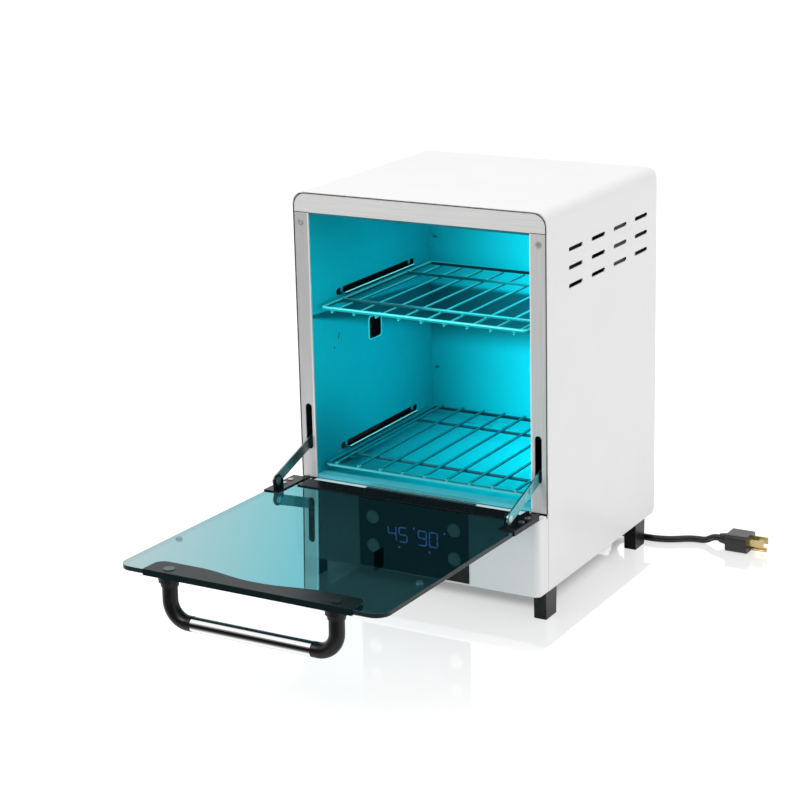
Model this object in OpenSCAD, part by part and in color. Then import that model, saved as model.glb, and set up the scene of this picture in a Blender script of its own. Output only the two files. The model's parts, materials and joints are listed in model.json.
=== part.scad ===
// UV sterilizer cabinet: a counter-top steel box with a drop-down glass door,
// two wire racks, a UV lamp behind the right wall and a button panel below.
// X runs left to right, the front faces -Y, and the origin is on the ground
// at the centre of the body's footprint. The door is drawn open.

/* [Body] */
// Overall width of the body
body_w = 260; // [256:1:266]
// Depth of the body from its steel face to its back
body_d = 240; // [238:1:250]
// Height of the body above its feet
body_h = 348; // [346:1:360]
// Height of the feet
foot_h = 27; // [25:1:32]
// Outer radius of the two top edges
corner_r = 11; // [8:1:14]
// Thickness of the painted outer sheet
sheet_t = 1.2; // [0.8:0.1:1.4]
// Thickness of the cavity's inner sheet
liner_t = 0.8; // [0.6:0.1:1]

/* [Cavity] */
// Width of the cavity between its side walls
cavity_w = 226; // [224:1:226]
// Depth of the cavity from the steel face
cavity_d = 226.5; // [220:0.5:228]
// Height of the cavity floor above the ground
cavity_floor = 103; // [103:0.5:104]
// Height of the cavity from floor to ceiling
cavity_h = 254; // [250:1:255]

/* [Front panel] */
// How far the front panel stands forward of the steel face
panel_out = 19.5; // [18:0.5:20]
// Height of the front panel's top edge above the ground
panel_top = 99.8; // [98:0.1:100]
// Width of the black control fascia
fascia_w = 115; // [112:1:120]
// Distance of the fascia's centre to the right of the body's centre
fascia_x = 1.5; // [0:0.5:3]
// Diameter of the push buttons
button_d = 12.7; // [12:0.1:13]
// Travel of a push button
button_travel = 0.8; // [0.5:0.1:0.8]

/* [Door] */
// Height of the hinge axis above the ground
hinge_z = 94; // [94:0.5:94.5]
// Distance of the hinge axis in front of the steel face
hinge_out = 12; // [12:0.5:12.5]
// Tilt of the open door above level, in degrees
open_tilt = 1.3; // [0.5:0.1:1.5]
// Thickness of the glass
glass_t = 4; // [4:0.5:5]
// Width of the glass
glass_w = 257; // [254:0.5:257]
// Radius of the glass's two free corners
glass_r = 13; // [8:1:16]
// Diameter of the handle's tube
tube_d = 12.7; // [11:0.1:13]
// Length of the bare handle tube
tube_l = 117; // [112:1:120]
// Drop from the glass's inner surface to the handle tube's axis
handle_drop = 44; // [40:1:50]

/* [Racks] */
// Overall width of a rack
rack_w = 216; // [212:1:217]
// Overall depth of a rack
rack_d = 211.5; // [208:0.5:213]
// Height of the lower rack's frame wire above the ground
rack_low_z = 111; // [111:0.5:112]
// Height of the upper rack's frame wire above the ground
rack_high_z = 263.5; // [255:0.5:270]
// Spacing of the rack's front-to-back wires
rack_pitch = 23.7; // [20:0.1:24]
// Number of front-to-back wires
rack_wires = 9; // [7:2:9]

/* [Hidden] */

$fn = 48;
eps = 0.01;          // overshoot of a cutting tool past the face it cuts
gap = 0.5;           // gap between the steel face and the painted sheet

// Body
body_top = foot_h + body_h;
front_y = -body_d / 2;
back_y = body_d / 2;
inner_half = body_w / 2 - sheet_t;
rear_lip_y = back_y - 3.4;      // front face of the housing's rear lip
rear_lip_w = 10;
rear_corner_r = 7;
back_panel_y = rear_lip_y + sheet_t;

// Side vents
vent_l = 28.5;
vent_h = 3.8;
vent_cols = 4;
vent_rows = 3;
vent_pitch_y = 48.1;
vent_pitch_z = 16.7;
vent_first_y = -61.8;
vent_first_z = 300.4;

// Feet
foot_w = 12.5;
foot_d = 23;
foot_taper = 1;
foot_inset = 1;
foot_front_y = -112.8;
foot_rear_y = 87.8;
foot_screw_d = 4;
foot_bore_d = 4.4;
foot_head_z = 12;

// Steel face frame
face_t = 1.2;
face_half = inner_half - gap;
face_bottom = 100.3;
face_seam = 0.3;
opening_top = 356;
slot_x = 120.2;
slot_w = 7;
slot_z0 = 128;
slot_l = 44.5;
frame_screw_x = 121.8;
frame_screw_z = 346.5;
frame_screw_d = 3;

// Cavity
cavity_half = cavity_w / 2;
cavity_back = front_y + cavity_d;
cavity_top = cavity_floor + cavity_h;
liner_front = front_y + face_t;
liner_flange = 3;
rail_y0 = -76;
rail_l = 149;
rail_open_h = 6.5;
rail_open_up = 4;
rail_reach = 12.5;
tab_reach = 5;

// Front panel and controls
panel_y = front_y - panel_out;
panel_half = body_w / 2 - 0.3;
panel_front_r = 6;
bracket_relief = 3;
fascia_y = panel_y - 0.7;
fascia_t = 2;
fascia_bottom = 29;
fascia_top = panel_top + 1;
button_x = 42.8;
button_z_low = 50.5;
button_z_high = 78.5;
button_clear = 0.2;
button_proud = 0.6;
button_flange_t = 0.8;
stem_l = 2;
button_back_y = fascia_y + fascia_t + 0.2 + button_flange_t;
board_y = button_back_y + stem_l + button_travel + 0.1 + 2.5;
board_t = 1.6;
digit_h = 14;
digit_w = 8.2;
digit_stroke = 1.2;
digit_z = 58.5;
digit_depth = 0.35;
led_d = 2;
led_pitch = 16;
led_z_low = 53;
led_z_high = 73.5;

// Door: s runs along the door from the hinge axis, n is the height over that axis
hinge_y = front_y - hinge_out;
glass_n = 6;
glass_s0 = 9.5;
door_len = body_top - hinge_z;
plate_t = 1.2;
bar_lip_up = 1.6;      // keeps the hinge bar's lip clear of the fascia
bracket_s = 55;
bracket_in = 114;
bracket_out = 129.8;
leg_x = 114.5;
leg_t = 2;
hinge_pin_d = 4;
hinge_clear = 0.05;
pivot_s = 47.5;
pivot_n = 19;
pivot_d = 4;
ear_x = 118.6;
ear_t = 1.5;
ear_r = 6;
arm_gap = 0.2;
arm_t = 1.5;
arm_w = 10;
arm_l = 80;
arm_angle = 18.5;
rivet_head_d = 7;
rivet_head_t = 0.7;

// Handle
handle_s = door_len - 10;
handle_x = 81;
elbow_d = 13.2;
elbow_r = 18;
spigot_l = 10;
collar_d = 19.6;
collar_h = 5;
neck_d = 16;
neck_h = 4;
tube_wall = 1.2;
handle_n = glass_n + glass_t - handle_drop;
strip_half = 101;
strip_w = 16.5;
strip_lip = 1.2;      // how far the strip's lip stands past the edge of the glass
strip_top_t = 0.7;
strip_t = 0.9;
lobe_w = 24.5;
lobe_l = 40;
lobe_r = 9;
blend_l = 57;         // length of the curve from a lobe down to the strip's middle
cap_d = 10;
cap_t = 0.6;

// Racks
rack_x = -3.5;
rack_front_y = front_y + 10.7;
frame_wire_d = 3.6;
cross_wire_d = 3;
thin_wire_d = 2.6;
wire_bend_r = 4;
weld_sink = 0.5;
cross_bar_y = [-71, 53];

// Lamp
lamp_x = 121.8;
lamp_y = 40;
lamp_d = 12.5;
lamp_z0 = 165;
lamp_l = 160;
socket_h = 14;
window_z0 = 160;
window_h = 170;
window_w = 28;

// Power cord
cord_d = 6.8;
cord_x = 92;
cord_y = 108;
cord_drop_r = 12;
cord_run_end = 130;
cord_turn = 38;
cord_turn_r1 = 50;
cord_turn_r2 = 30;
cord_rise_r = 16;
cord_steps = 6;
plug_l = 32;
plug_w = 26;
plug_h = 17;

// ---------------------------------------------------------------- helpers

// A rod of diameter d and length l that starts at the origin and runs along +X
module rod_x(d, l) {
    rotate([0, 90, 0])
        cylinder(d = d, h = l);
}

// A rod of diameter d and length l that starts at the origin and runs along +Y
module rod_y(d, l) {
    rotate([-90, 0, 0])
        cylinder(d = d, h = l);
}

// A bend of a round bar: centre-line radius r, turning by angle a from +X
module bend(r, d, a) {
    rotate_extrude(angle = a)
        translate([r, 0])
            circle(d = d);
}

// A rectangle centred on the origin with round corners
module round_rect(w, h, r) {
    square([w - 2 * r, h], center = true);
    square([w, h - 2 * r], center = true);
    for (x = [-1, 1], y = [-1, 1])
        translate([x * (w / 2 - r), y * (h / 2 - r)])
            circle(r);
}

// The same outline as a slot with fully round ends, along X
module slot_2d(l, w) {
    square([l - w, w], center = true);
    for (x = [-1, 1])
        translate([x * (l - w) / 2, 0])
            circle(d = w);
}

// A door-shaped or body-shaped outline: square at the bottom, round at the top
module arch_2d(half, z0, z1, r) {
    translate([-half, z0])
        square([2 * half, z1 - r - z0]);
    translate([-half + r, z0])
        square([2 * (half - r), z1 - z0]);
    for (x = [-1, 1])
        translate([x * (half - r), z1 - r])
            circle(r);
}

// Stands an outline drawn in X and Z up, from y0 backwards by depth t
module upright(y0, t) {
    translate([0, y0 + t, 0])
        rotate([90, 0, 0])
            linear_extrude(t)
                children();
}

// Carries an outline drawn in Y and Z to x0, with thickness t along +X
module sideways(x0, t) {
    translate([x0, 0, 0])
        rotate([90, 0, 90])
            linear_extrude(t)
                children();
}

module mirror_x(side) {
    mirror([side < 0 ? 1 : 0, 0, 0])
        children();
}

module both_sides() {
    for (side = [-1, 1])
        mirror_x(side)
            children();
}

// Puts a door part, drawn level with the hinge axis as origin, into the open door
module at_door() {
    translate([0, hinge_y, hinge_z])
        rotate([-open_tilt, 0, 0])
            children();
}

// A block of the door from s0 to s1 and n0 to n1, between x0 and x1
module door_block(x0, x1, s0, s1, n0, n1) {
    translate([x0, -s1, n0])
        cube([x1 - x0, s1 - s0, n1 - n0]);
}

module screw(head_d, head_t, d, l) {
    cylinder(d = head_d, h = head_t);
    translate([0, 0, -l])
        cylinder(d = d, h = l + eps);
}

// ---------------------------------------------------------------- body

module vents_2d() {
    for (c = [0 : vent_cols - 1], r = [0 : vent_rows - 1])
        translate([vent_first_y + c * vent_pitch_y, vent_first_z + r * vent_pitch_z])
            slot_2d(vent_l, vent_h);
}

// Round-off cut at the lower rear corner of the two sides
module rear_corner_cut() {
    translate([0, back_y - rear_corner_r, foot_h + rear_corner_r])
        difference() {
            translate([-body_w, 0, -2 * rear_corner_r])
                cube([2 * body_w, 2 * rear_corner_r, 2 * rear_corner_r]);
            translate([-body_w, 0, 0])
                rod_x(2 * rear_corner_r, 2 * body_w);
        }
}

module outer_housing() {
    color("white")
        difference() {
            union() {
                upright(front_y, body_d)
                    difference() {
                        arch_2d(body_w / 2, foot_h, body_top, corner_r);
                        translate([0, -eps])
                            arch_2d(inner_half, foot_h, body_top - sheet_t + eps,
                                corner_r - sheet_t);
                    }
                upright(rear_lip_y, sheet_t)
                    difference() {
                        arch_2d(inner_half + eps, foot_h + rear_corner_r,
                            body_top - sheet_t + eps, corner_r - sheet_t);
                        translate([0, -eps])
                            arch_2d(inner_half - rear_lip_w, foot_h,
                                body_top - sheet_t - rear_lip_w, corner_r / 2);
                    }
            }
            sideways(-body_w, 2 * body_w)
                vents_2d();
            rear_corner_cut();
            for (p = back_screw_points())
                translate([p[0], rear_lip_y - 1, p[1]])
                    rod_y(2.9, 4);
        }
}

function back_screw_points() = [for (x = [-1, 1], z = [60, 200, 340]) [x * (inner_half - 5), z]];

module back_panel() {
    color("white")
        difference() {
            upright(back_panel_y, sheet_t)
                arch_2d(inner_half - 0.2, foot_h + rear_corner_r + 1, body_top - sheet_t - 0.2,
                    corner_r - sheet_t);
            for (z = [60 : 12 : 84], x = [-60, -20, 20, 60])
                upright(back_panel_y - 1, sheet_t + 2)
                    translate([x, z])
                        slot_2d(vent_l, vent_h);
            for (z = [300 : 12 : 336], x = [-60, -20, 20, 60])
                upright(back_panel_y - 1, sheet_t + 2)
                    translate([x, z])
                        slot_2d(vent_l, vent_h);
            for (p = back_screw_points())
                translate([p[0], back_panel_y - 1, p[1]])
                    rod_y(3.2, 4);
        }
}

module back_screws() {
    color("silver")
        for (p = back_screw_points())
            translate([p[0], back_panel_y + sheet_t, p[1]])
                rotate([-90, 0, 0])
                    difference() {
                        screw(6.4, 1.6, 2.8, 8);
                        for (a = [0, 90])
                            rotate(a)
                                translate([-1.8, -0.4, 0.8])
                                    cube([3.6, 0.8, 1]);
                    }
}

module base_plate() {
    plate_half = inner_half - 0.2;
    plate_back = rear_lip_y - 0.2;
    color("gainsboro")
        difference() {
            union() {
                translate([-plate_half, front_y + 0.2, foot_h])
                    cube([2 * plate_half, plate_back - front_y - 0.2, sheet_t]);
                for (x = [-plate_half, plate_half - sheet_t])
                    translate([x, front_y + 4, foot_h])
                        cube([sheet_t, plate_back - front_y - 12, 9]);
            }
            both_sides()
                for (y = [foot_front_y, foot_rear_y])
                    translate([foot_centre_x(), y, foot_h - 1])
                        cylinder(d = foot_bore_d, h = 4);
            translate([cord_x, cord_y, foot_h - 1])
                cylinder(d = 15, h = 4);
            for (x = [-75 : 25 : 50], y = [-60, -20, 20])
                translate([x, y, foot_h - 1])
                    linear_extrude(4)
                        slot_2d(16, 4);
        }
}

function foot_centre_x() = body_w / 2 - foot_inset - foot_w / 2;

// One foot: a block that tapers slightly towards the ground, counterbored for its screw
module foot() {
    difference() {
        translate([-foot_w / 2, 0, 0])
            sideways(0, foot_w)
                polygon([[-foot_d / 2 + foot_taper, 0], [foot_d / 2 - foot_taper, 0],
                    [foot_d / 2, foot_h], [-foot_d / 2, foot_h]]);
        translate([0, 0, -eps])
            cylinder(d = 9, h = foot_head_z + 3 + eps);
        translate([0, 0, -eps])
            cylinder(d = foot_bore_d, h = foot_h + 1);
    }
}

module at_feet() {
    both_sides()
        for (y = [foot_front_y, foot_rear_y])
            translate([foot_centre_x(), y, 0])
                children();
}

module feet() {
    color([0.06, 0.06, 0.065])
        at_feet()
            foot();
}

module foot_screws() {
    color("silver")
        at_feet()
            difference() {
                union() {
                    translate([0, 0, foot_head_z])
                        cylinder(d = 7.6, h = 3);
                    translate([0, 0, foot_head_z])
                        cylinder(d = foot_screw_d, h = foot_h - foot_head_z + 6);
                }
                for (a = [0, 90])
                    rotate(a)
                        translate([-2.2, -0.5, foot_head_z - 1])
                            cube([4.4, 1, 2.2]);
            }
}

// ---------------------------------------------------------------- steel face

module face_2d() {
    arch_2d(face_half, face_bottom, body_top - sheet_t - gap, corner_r - sheet_t - gap);
}

module face_frame_top() {
    color("silver")
        union() {
            upright(front_y, face_t)
                intersection() {
                    face_2d();
                    translate([-body_w, opening_top])
                        square([2 * body_w, 60]);
                }
            translate([-cavity_half, liner_front - eps, opening_top])
                cube([2 * cavity_half, 6, 0.9]);
        }
}

module face_frame_side(side) {
    color("silver")
        upright(front_y, face_t)
            mirror([side < 0 ? 1 : 0, 0])
                difference() {
                    intersection() {
                        face_2d();
                        translate([cavity_half, 0])
                            square([60, opening_top - face_seam]);
                    }
                    translate([slot_x, slot_z0 + slot_l / 2])
                        rotate(90)
                            slot_2d(slot_l, slot_w);
                    translate([frame_screw_x, frame_screw_z])
                        circle(d = frame_screw_d + 0.3);
                }
}

module face_frame_left() { face_frame_side(-1); }

module face_frame_right() { face_frame_side(1); }

module frame_screws() {
    color("silver")
        both_sides()
            translate([frame_screw_x, front_y, frame_screw_z])
                rotate([90, 0, 0])
                    difference() {
                        screw(5.4, 0.9, frame_screw_d, 7);
                        rotate(20)
                            translate([-2, -0.35, 0.45])
                                cube([4, 0.7, 1]);
                    }
}

// The bright steel edge in front of the cavity floor
module sill() {
    color("gainsboro")
        union() {
            translate([-cavity_half + 0.3, front_y, face_bottom])
                cube([cavity_w - 0.6, face_t, cavity_floor + 1 - face_bottom]);
            translate([-cavity_half + 0.3, front_y, cavity_floor])
                cube([cavity_w - 0.6, 12, 1]);
        }
}

// ---------------------------------------------------------------- cavity liner

// One side wall, drawn as the right one. rail_side +1 keeps the lower ledge of each rail
module liner_wall() {
    difference() {
        union() {
            translate([cavity_half, liner_front, cavity_floor])
                cube([liner_t, cavity_back - liner_front, cavity_h]);
            translate([cavity_half, liner_front, cavity_floor])
                cube([liner_flange, liner_t, opening_top - cavity_floor]);
        }
        for (z = [rack_low_z, rack_high_z])
            sideways(cavity_half - 1, liner_t + 2)
                translate([rail_y0 + rail_l / 2, z + rail_open_up + rail_open_h / 2])
                    slot_2d(rail_l, rail_open_h);
    }
    for (z = [rack_low_z, rack_high_z]) {
        translate([cavity_half - rail_reach, rail_y0, z - frame_wire_d / 2 - 1.1])
            cube([rail_reach + eps, rail_l, 1]);
        translate([cavity_half - tab_reach, rail_y0 + 8, z + rail_open_up + 1.6])
            cube([tab_reach + liner_t, rail_l - 16, 0.8]);
    }
}

// The left wall has a square port to the air gap behind it and two small lancings
module liner_left() {
    color("lightcyan")
        difference() {
            mirror([1, 0, 0])
                liner_wall_tied();
            sideways(-cavity_half - liner_t - 1, liner_t + 2) {
                translate([-6.5, 222])
                    round_rect(23, 22, 3);
                translate([-73.5, 228])
                    rotate(70)
                        slot_2d(7, 1.6);
                translate([-82, 218.5])
                    rotate(70)
                        slot_2d(3, 1.4);
            }
        }
}

// The tabs are tied to the wall at both ends of the opening
module liner_wall_tied() {
    union() {
        liner_wall();
        for (z = [rack_low_z, rack_high_z], y = [rail_y0 + 8, rail_y0 + rail_l - 12])
            translate([cavity_half, y, z + rail_open_up + 1.6])
                cube([liner_t, 4, rail_open_h]);
    }
}

module liner_right() {
    color("lightcyan")
        difference() {
            liner_wall_tied();
            sideways(cavity_half - 1, liner_t + 2)
                translate([lamp_y, window_z0 + window_h / 2])
                    round_rect(window_w, window_h, 4);
        }
}

module liner_back() {
    color("lightcyan")
        difference() {
            translate([-cavity_half - liner_t, cavity_back, cavity_floor])
                cube([cavity_w + 2 * liner_t, liner_t, cavity_h]);
            upright(cavity_back - 1, liner_t + 2)
                for (x = [-1, 1], z = [152.5, 290])
                    translate([x * (cavity_half - 6), z])
                        slot_2d(5, 1.6);
        }
}

module liner_top() {
    color("lightcyan")
        translate([-cavity_half - liner_t, liner_front, cavity_top])
            cube([cavity_w + 2 * liner_t, cavity_back + liner_t - liner_front, liner_t]);
}

module liner_floor() {
    color("lightcyan")
        difference() {
            translate([-cavity_half - liner_t, liner_front, cavity_floor - liner_t])
                cube([cavity_w + 2 * liner_t, cavity_back + liner_t - liner_front, liner_t]);
            for (x = [-60 : 20 : 60])
                translate([x, 90, cavity_floor - 2])
                    linear_extrude(4)
                        slot_2d(12, 3);
        }
}

// ---------------------------------------------------------------- lamp

module uv_lamp() {
    color("aqua")
        translate([lamp_x, lamp_y, lamp_z0])
            cylinder(d = lamp_d, h = lamp_l);
}

module lamp_sockets() {
    color("whitesmoke")
        for (z = [lamp_z0 - socket_h, lamp_z0 + lamp_l])
            difference() {
                translate([cavity_half + liner_t + 0.7, lamp_y - 9, z])
                    cube([13.4, 18, socket_h]);
                for (y = [-13, 6.5])
                    translate([lamp_x - 2, lamp_y + y, z - 1])
                        cube([4, 6.5, socket_h + 2]);
            }
}

module lamp_reflector() {
    reflector_half = 18;
    color("silver")
        union() {
            translate([inner_half - 0.7, lamp_y - reflector_half, window_z0 - 15])
                cube([0.6, 2 * reflector_half, window_h + 30]);
            for (y = [-reflector_half, reflector_half - 0.6])
                translate([cavity_half + liner_t + 0.1, lamp_y + y, window_z0 - 15])
                    cube([inner_half - cavity_half - liner_t - 0.2, 0.6, window_h + 30]);
        }
}

// A welded wire grid that keeps tools off the lamp
module lamp_guard() {
    bar_d = 1.6;
    bar_x = cavity_half + liner_t + bar_d / 2;
    bar_l = window_w + 5;
    upright_d = 1.4;
    bars = 7;
    bar_first = 6;
    color("silver")
        union() {
            for (y = [-8, 0, 8])
                translate([cavity_half + upright_d / 2 - 0.3, lamp_y + y, window_z0 + 3])
                    cylinder(d = upright_d, h = window_h - 6);
            for (i = [0 : bars - 1])
                translate([bar_x, lamp_y - bar_l / 2,
                    window_z0 + bar_first + i * (window_h - 2 * bar_first) / (bars - 1)])
                    rod_y(bar_d, bar_l);
        }
}

// ---------------------------------------------------------------- front panel

function fascia_left() = fascia_x - fascia_w / 2;

module panel_outline(inset) {
    half = panel_half - inset;
    y0 = panel_y + inset;
    r = panel_front_r - inset;
    translate([-half, y0 + r])
        square([2 * half, front_y - y0 - r]);
    translate([-half + r, y0])
        square([2 * (half - r), front_y - y0]);
    for (x = [-1, 1])
        translate([x * (half - r), y0 + r])
            circle(r);
}

module front_panel() {
    color("white")
        difference() {
            translate([0, 0, foot_h])
                linear_extrude(panel_top - foot_h)
                    panel_outline(0);
            difference() {
                translate([0, eps, foot_h + sheet_t])
                    linear_extrude(panel_top - foot_h - 2 * sheet_t)
                        panel_outline(sheet_t);
            }
            translate([-body_w, front_y - eps, foot_h + sheet_t])
                cube([2 * body_w, 1, panel_top - foot_h - 2 * sheet_t]);
            // opening for the fascia, through the face and the top
            translate([fascia_left() - 0.1, panel_y - 1, fascia_bottom - 0.1])
                cube([fascia_w + 0.2, 1 + sheet_t + 1.5, 100]);
            translate([fascia_left() - 0.1, panel_y - 1, panel_top - sheet_t - 1])
                cube([fascia_w + 0.2, panel_out - 1.5, 10]);
            // slots for the hinge legs and room for the brackets as the door closes
            both_sides() {
                translate([leg_x - 0.8, hinge_y - 5, panel_top - sheet_t - 1])
                    cube([leg_t + 1.6, hinge_out + 6, 10]);
                translate([bracket_in - 0.8, front_y - 3.5, panel_top - bracket_relief])
                    cube([20, 4, 10]);
                // holes for the hinge pins
                translate([panel_half - 4, hinge_y, hinge_z])
                    rod_x(hinge_pin_d, 10);
            }
        }
}

// The glossy black control fascia with its turned-over top edge
module control_fascia() {
    color([0.03, 0.03, 0.035])
        difference() {
            union() {
                translate([fascia_left(), fascia_y, fascia_bottom])
                    cube([fascia_w, fascia_t, fascia_top - fascia_bottom]);
                translate([fascia_left(), fascia_y, fascia_top - 1])
                    cube([fascia_w, panel_out - 2.5, 1]);
            }
            for (p = button_points())
                translate([p[0], fascia_y - 1, p[1]])
                    rod_y(button_d + 2 * button_clear, 5);
            upright(fascia_y - eps, digit_depth + eps)
                digits_2d();
            for (p = led_points())
                translate([p[0], fascia_y - eps, p[1]])
                    rod_y(led_d, digit_depth + eps);
        }
}

function button_points() = [for (x = [-1, 1], z = [button_z_low, button_z_high])
    [fascia_x + x * button_x, z]];

function led_points() = [for (i = [0 : 3])
    [fascia_x + (i - 0.94) * led_pitch, i % 2 == 0 ? led_z_low : led_z_high]];

// One bar of a seven-segment digit: a slim hexagon of length l along X
module segment(l) {
    s = digit_stroke / 2;
    polygon([[0.25, 0], [0.25 + s, s], [l - 0.25 - s, s], [l - 0.25, 0],
        [l - 0.25 - s, -s], [0.25 + s, -s]]);
}

// A digit from its lit bars: a top, b and c right, d bottom, e and f left, g middle
module digit_2d(bars) {
    half = digit_h / 2;
    for (b = bars)
        if (b == "a")
            translate([0, digit_h])
                segment(digit_w);
        else if (b == "b")
            translate([digit_w, half])
                rotate(90)
                    segment(half);
        else if (b == "c")
            translate([digit_w, 0])
                rotate(90)
                    segment(half);
        else if (b == "d")
            segment(digit_w);
        else if (b == "e")
            rotate(90)
                segment(half);
        else if (b == "f")
            translate([0, half])
                rotate(90)
                    segment(half);
        else
            translate([0, half])
                segment(digit_w);
}

// The display shows two generic two-figure numbers, 45 and 90
module digits_2d() {
    four = ["b", "c", "f", "g"];
    five = ["a", "c", "d", "f", "g"];
    nine = ["a", "b", "c", "d", "f", "g"];
    zero = ["a", "b", "c", "d", "e", "f"];
    left = fascia_x - 26.4;
    right = fascia_x + 5.6;
    translate([left, digit_z])
        digit_2d(four);
    translate([left + 11.6, digit_z])
        digit_2d(five);
    translate([right, digit_z])
        digit_2d(nine);
    translate([right + 11.6, digit_z])
        digit_2d(zero);
}

module display_digits() {
    color([0.55, 0.6, 1])
        upright(fascia_y - 0.05, digit_depth + 0.05)
            digits_2d();
}

module indicator_leds() {
    color([0.45, 0.5, 1])
        for (p = led_points())
            translate([p[0], fascia_y - 0.1, p[1]])
                rod_y(led_d, digit_depth + 0.1);
}

module display_module() {
    color("dimgray")
        translate([fascia_x - 30, fascia_y + fascia_t, 56])
            cube([60, board_y - fascia_y - fascia_t, 19]);
}

// One push button: cap, retaining flange behind the fascia, and stem
module button(x, z) {
    color([0.45, 0.56, 0.58])
        translate([fascia_x + x, 0, z]) {
            translate([0, fascia_y - button_proud, 0])
                rod_y(button_d, button_back_y - fascia_y + button_proud);
            translate([0, button_back_y - button_flange_t, 0])
                rod_y(button_d + 2.4, button_flange_t);
            translate([0, button_back_y - eps, 0])
                rod_y(4, stem_l + eps);
        }
}

module button_upper_left() { button(-button_x, button_z_high); }

module button_lower_left() { button(-button_x, button_z_low); }

module button_upper_right() { button(button_x, button_z_high); }

module button_lower_right() { button(button_x, button_z_low); }

module control_board() {
    color("darkgreen")
        difference() {
            translate([fascia_x - 54, board_y, 36])
                cube([108, board_t, 58]);
            for (x = [-50, 50], z = [40, 90])
                translate([fascia_x + x, board_y - 1, z])
                    rod_y(3.2, board_t + 2);
        }
}

module tact_switches() {
    color("black")
        for (p = button_points())
            translate([p[0], 0, p[1]]) {
                translate([-3, board_y - 1.6, -3])
                    cube([6, 1.6, 6]);
                translate([0, board_y - 2.5, 0])
                    rod_y(3.4, 1);
            }
}

// ---------------------------------------------------------------- inside the base

module power_board() {
    color("darkgreen")
        union() {
            translate([-90, -80, foot_h + 9])
                cube([80, 60, board_t]);
            translate([-84, -72, foot_h + 9 + board_t - eps])
                cube([28, 30, 22]);
            for (x = [-40, -24])
                translate([x, -50, foot_h + 9 + board_t - eps])
                    cylinder(d = 12, h = 20);
            for (x = [-86, -14], y = [-76, -24])
                translate([x, y, foot_h + sheet_t])
                    cylinder(d = 4, h = 9 - sheet_t + eps);
        }
}

module lamp_ballast() {
    color("lightgray")
        union() {
            translate([30, -70, foot_h + sheet_t])
                cube([66, 30, 24]);
            translate([22, -70, foot_h + sheet_t])
                cube([82, 30, 1.5]);
        }
}

module heater_pad() {
    color("peru")
        translate([-80, -75, cavity_floor - liner_t - 2.5])
            cube([160, 150, 2.5]);
}

module thermal_fuse() {
    color("silver")
        translate([86, 20, cavity_floor - liner_t - 4]) {
            rod_y(8, 12);
            translate([-4, 0, 0])
                cube([8, 12, 4]);
        }
}

module temperature_sensor() {
    color("dimgray")
        union() {
            translate([-inner_half + 0.2, -13, 212])
                cube([5, 13, 18]);
            translate([-inner_half + 5, -6.5, 221])
                rod_x(5, 6);
        }
}

// Senses the right hinge bracket through the front panel's top slot
module door_sensor() {
    color("black")
        translate([99, hinge_y - 4, 72])
            cube([9, 12, 22]);
}

module wiring_harness() {
    wire_d = 3;
    wire_z = 44;
    color("firebrick")
        union() {
            translate([cord_x - 8, cord_y - 4, wire_z])
                rotate([90, 0, 0])
                    cylinder(d = wire_d, h = 84);
            translate([cord_x - 8, cord_y - 88, wire_z])
                sphere(d = wire_d);
            translate([-30, cord_y - 88, wire_z])
                rod_x(wire_d, cord_x - 8 + 30);
            translate([-30, cord_y - 88, wire_z])
                sphere(d = wire_d);
            translate([-30, -18, wire_z])
                rod_y(wire_d, cord_y - 88 + 18);
        }
}

// ---------------------------------------------------------------- cord and plug

module strain_relief() {
    color([0.08, 0.08, 0.085])
        translate([cord_x, cord_y, 0])
            difference() {
                union() {
                    translate([0, 0, foot_h])
                        cylinder(d = 14.8, h = 6);
                    translate([0, 0, foot_h - 3])
                        cylinder(d = 18, h = 3);
                    translate([0, 0, foot_h - 9])
                        cylinder(d1 = 9.6, d2 = 12, h = 6 + eps);
                }
                translate([0, 0, foot_h - 10])
                    cylinder(d = cord_d + 0.1, h = 20);
            }
}

// Length and sideways step of a bend of radius r through angle a
function run(r, a) = r * sin(a);
function step(r, a) = r * (1 - cos(a));

cord_z = cord_d / 2;
plug_z = plug_h / 2;
rise_angle = acos(1 - (plug_z - cord_z) / (2 * cord_rise_r));
turn1 = [cord_run_end + run(cord_turn_r1, cord_turn), cord_y + step(cord_turn_r1, cord_turn)];
turn2 = turn1 + [run(cord_turn_r2, cord_turn), step(cord_turn_r2, cord_turn)];
rise_end = turn2[0] + 2 * run(cord_rise_r, rise_angle);
plug_x = rise_end + 2;

// Points of the cord's centre line, from the base plate down, round and along to the plug
cord_path = concat(
    [[cord_x, cord_y, foot_h + 10]],
    [for (i = [0 : cord_steps]) let (a = 90 * i / cord_steps)
        [cord_x + step(cord_drop_r, a), cord_y, cord_z + cord_drop_r - run(cord_drop_r, a)]],
    [for (i = [0 : cord_steps]) let (a = cord_turn * i / cord_steps)
        [cord_run_end + run(cord_turn_r1, a), cord_y + step(cord_turn_r1, a), cord_z]],
    [for (i = [1 : cord_steps]) let (a = cord_turn * (1 - i / cord_steps))
        [turn2[0] - run(cord_turn_r2, a), turn2[1] - step(cord_turn_r2, a), cord_z]],
    [for (i = [1 : cord_steps]) let (a = rise_angle * i / cord_steps)
        [turn2[0] + run(cord_rise_r, a), turn2[1], cord_z + step(cord_rise_r, a)]],
    [for (i = [1 : cord_steps]) let (a = rise_angle * (1 - i / cord_steps))
        [rise_end - run(cord_rise_r, a), turn2[1], plug_z - step(cord_rise_r, a)]],
    [[plug_x, turn2[1], plug_z]]);

function unit(v) = v / norm(v);

// Direction of a path at its point i
function heading(path, i) = unit(path[min(i + 1, len(path) - 1)] - path[max(i - 1, 0)]);

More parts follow.
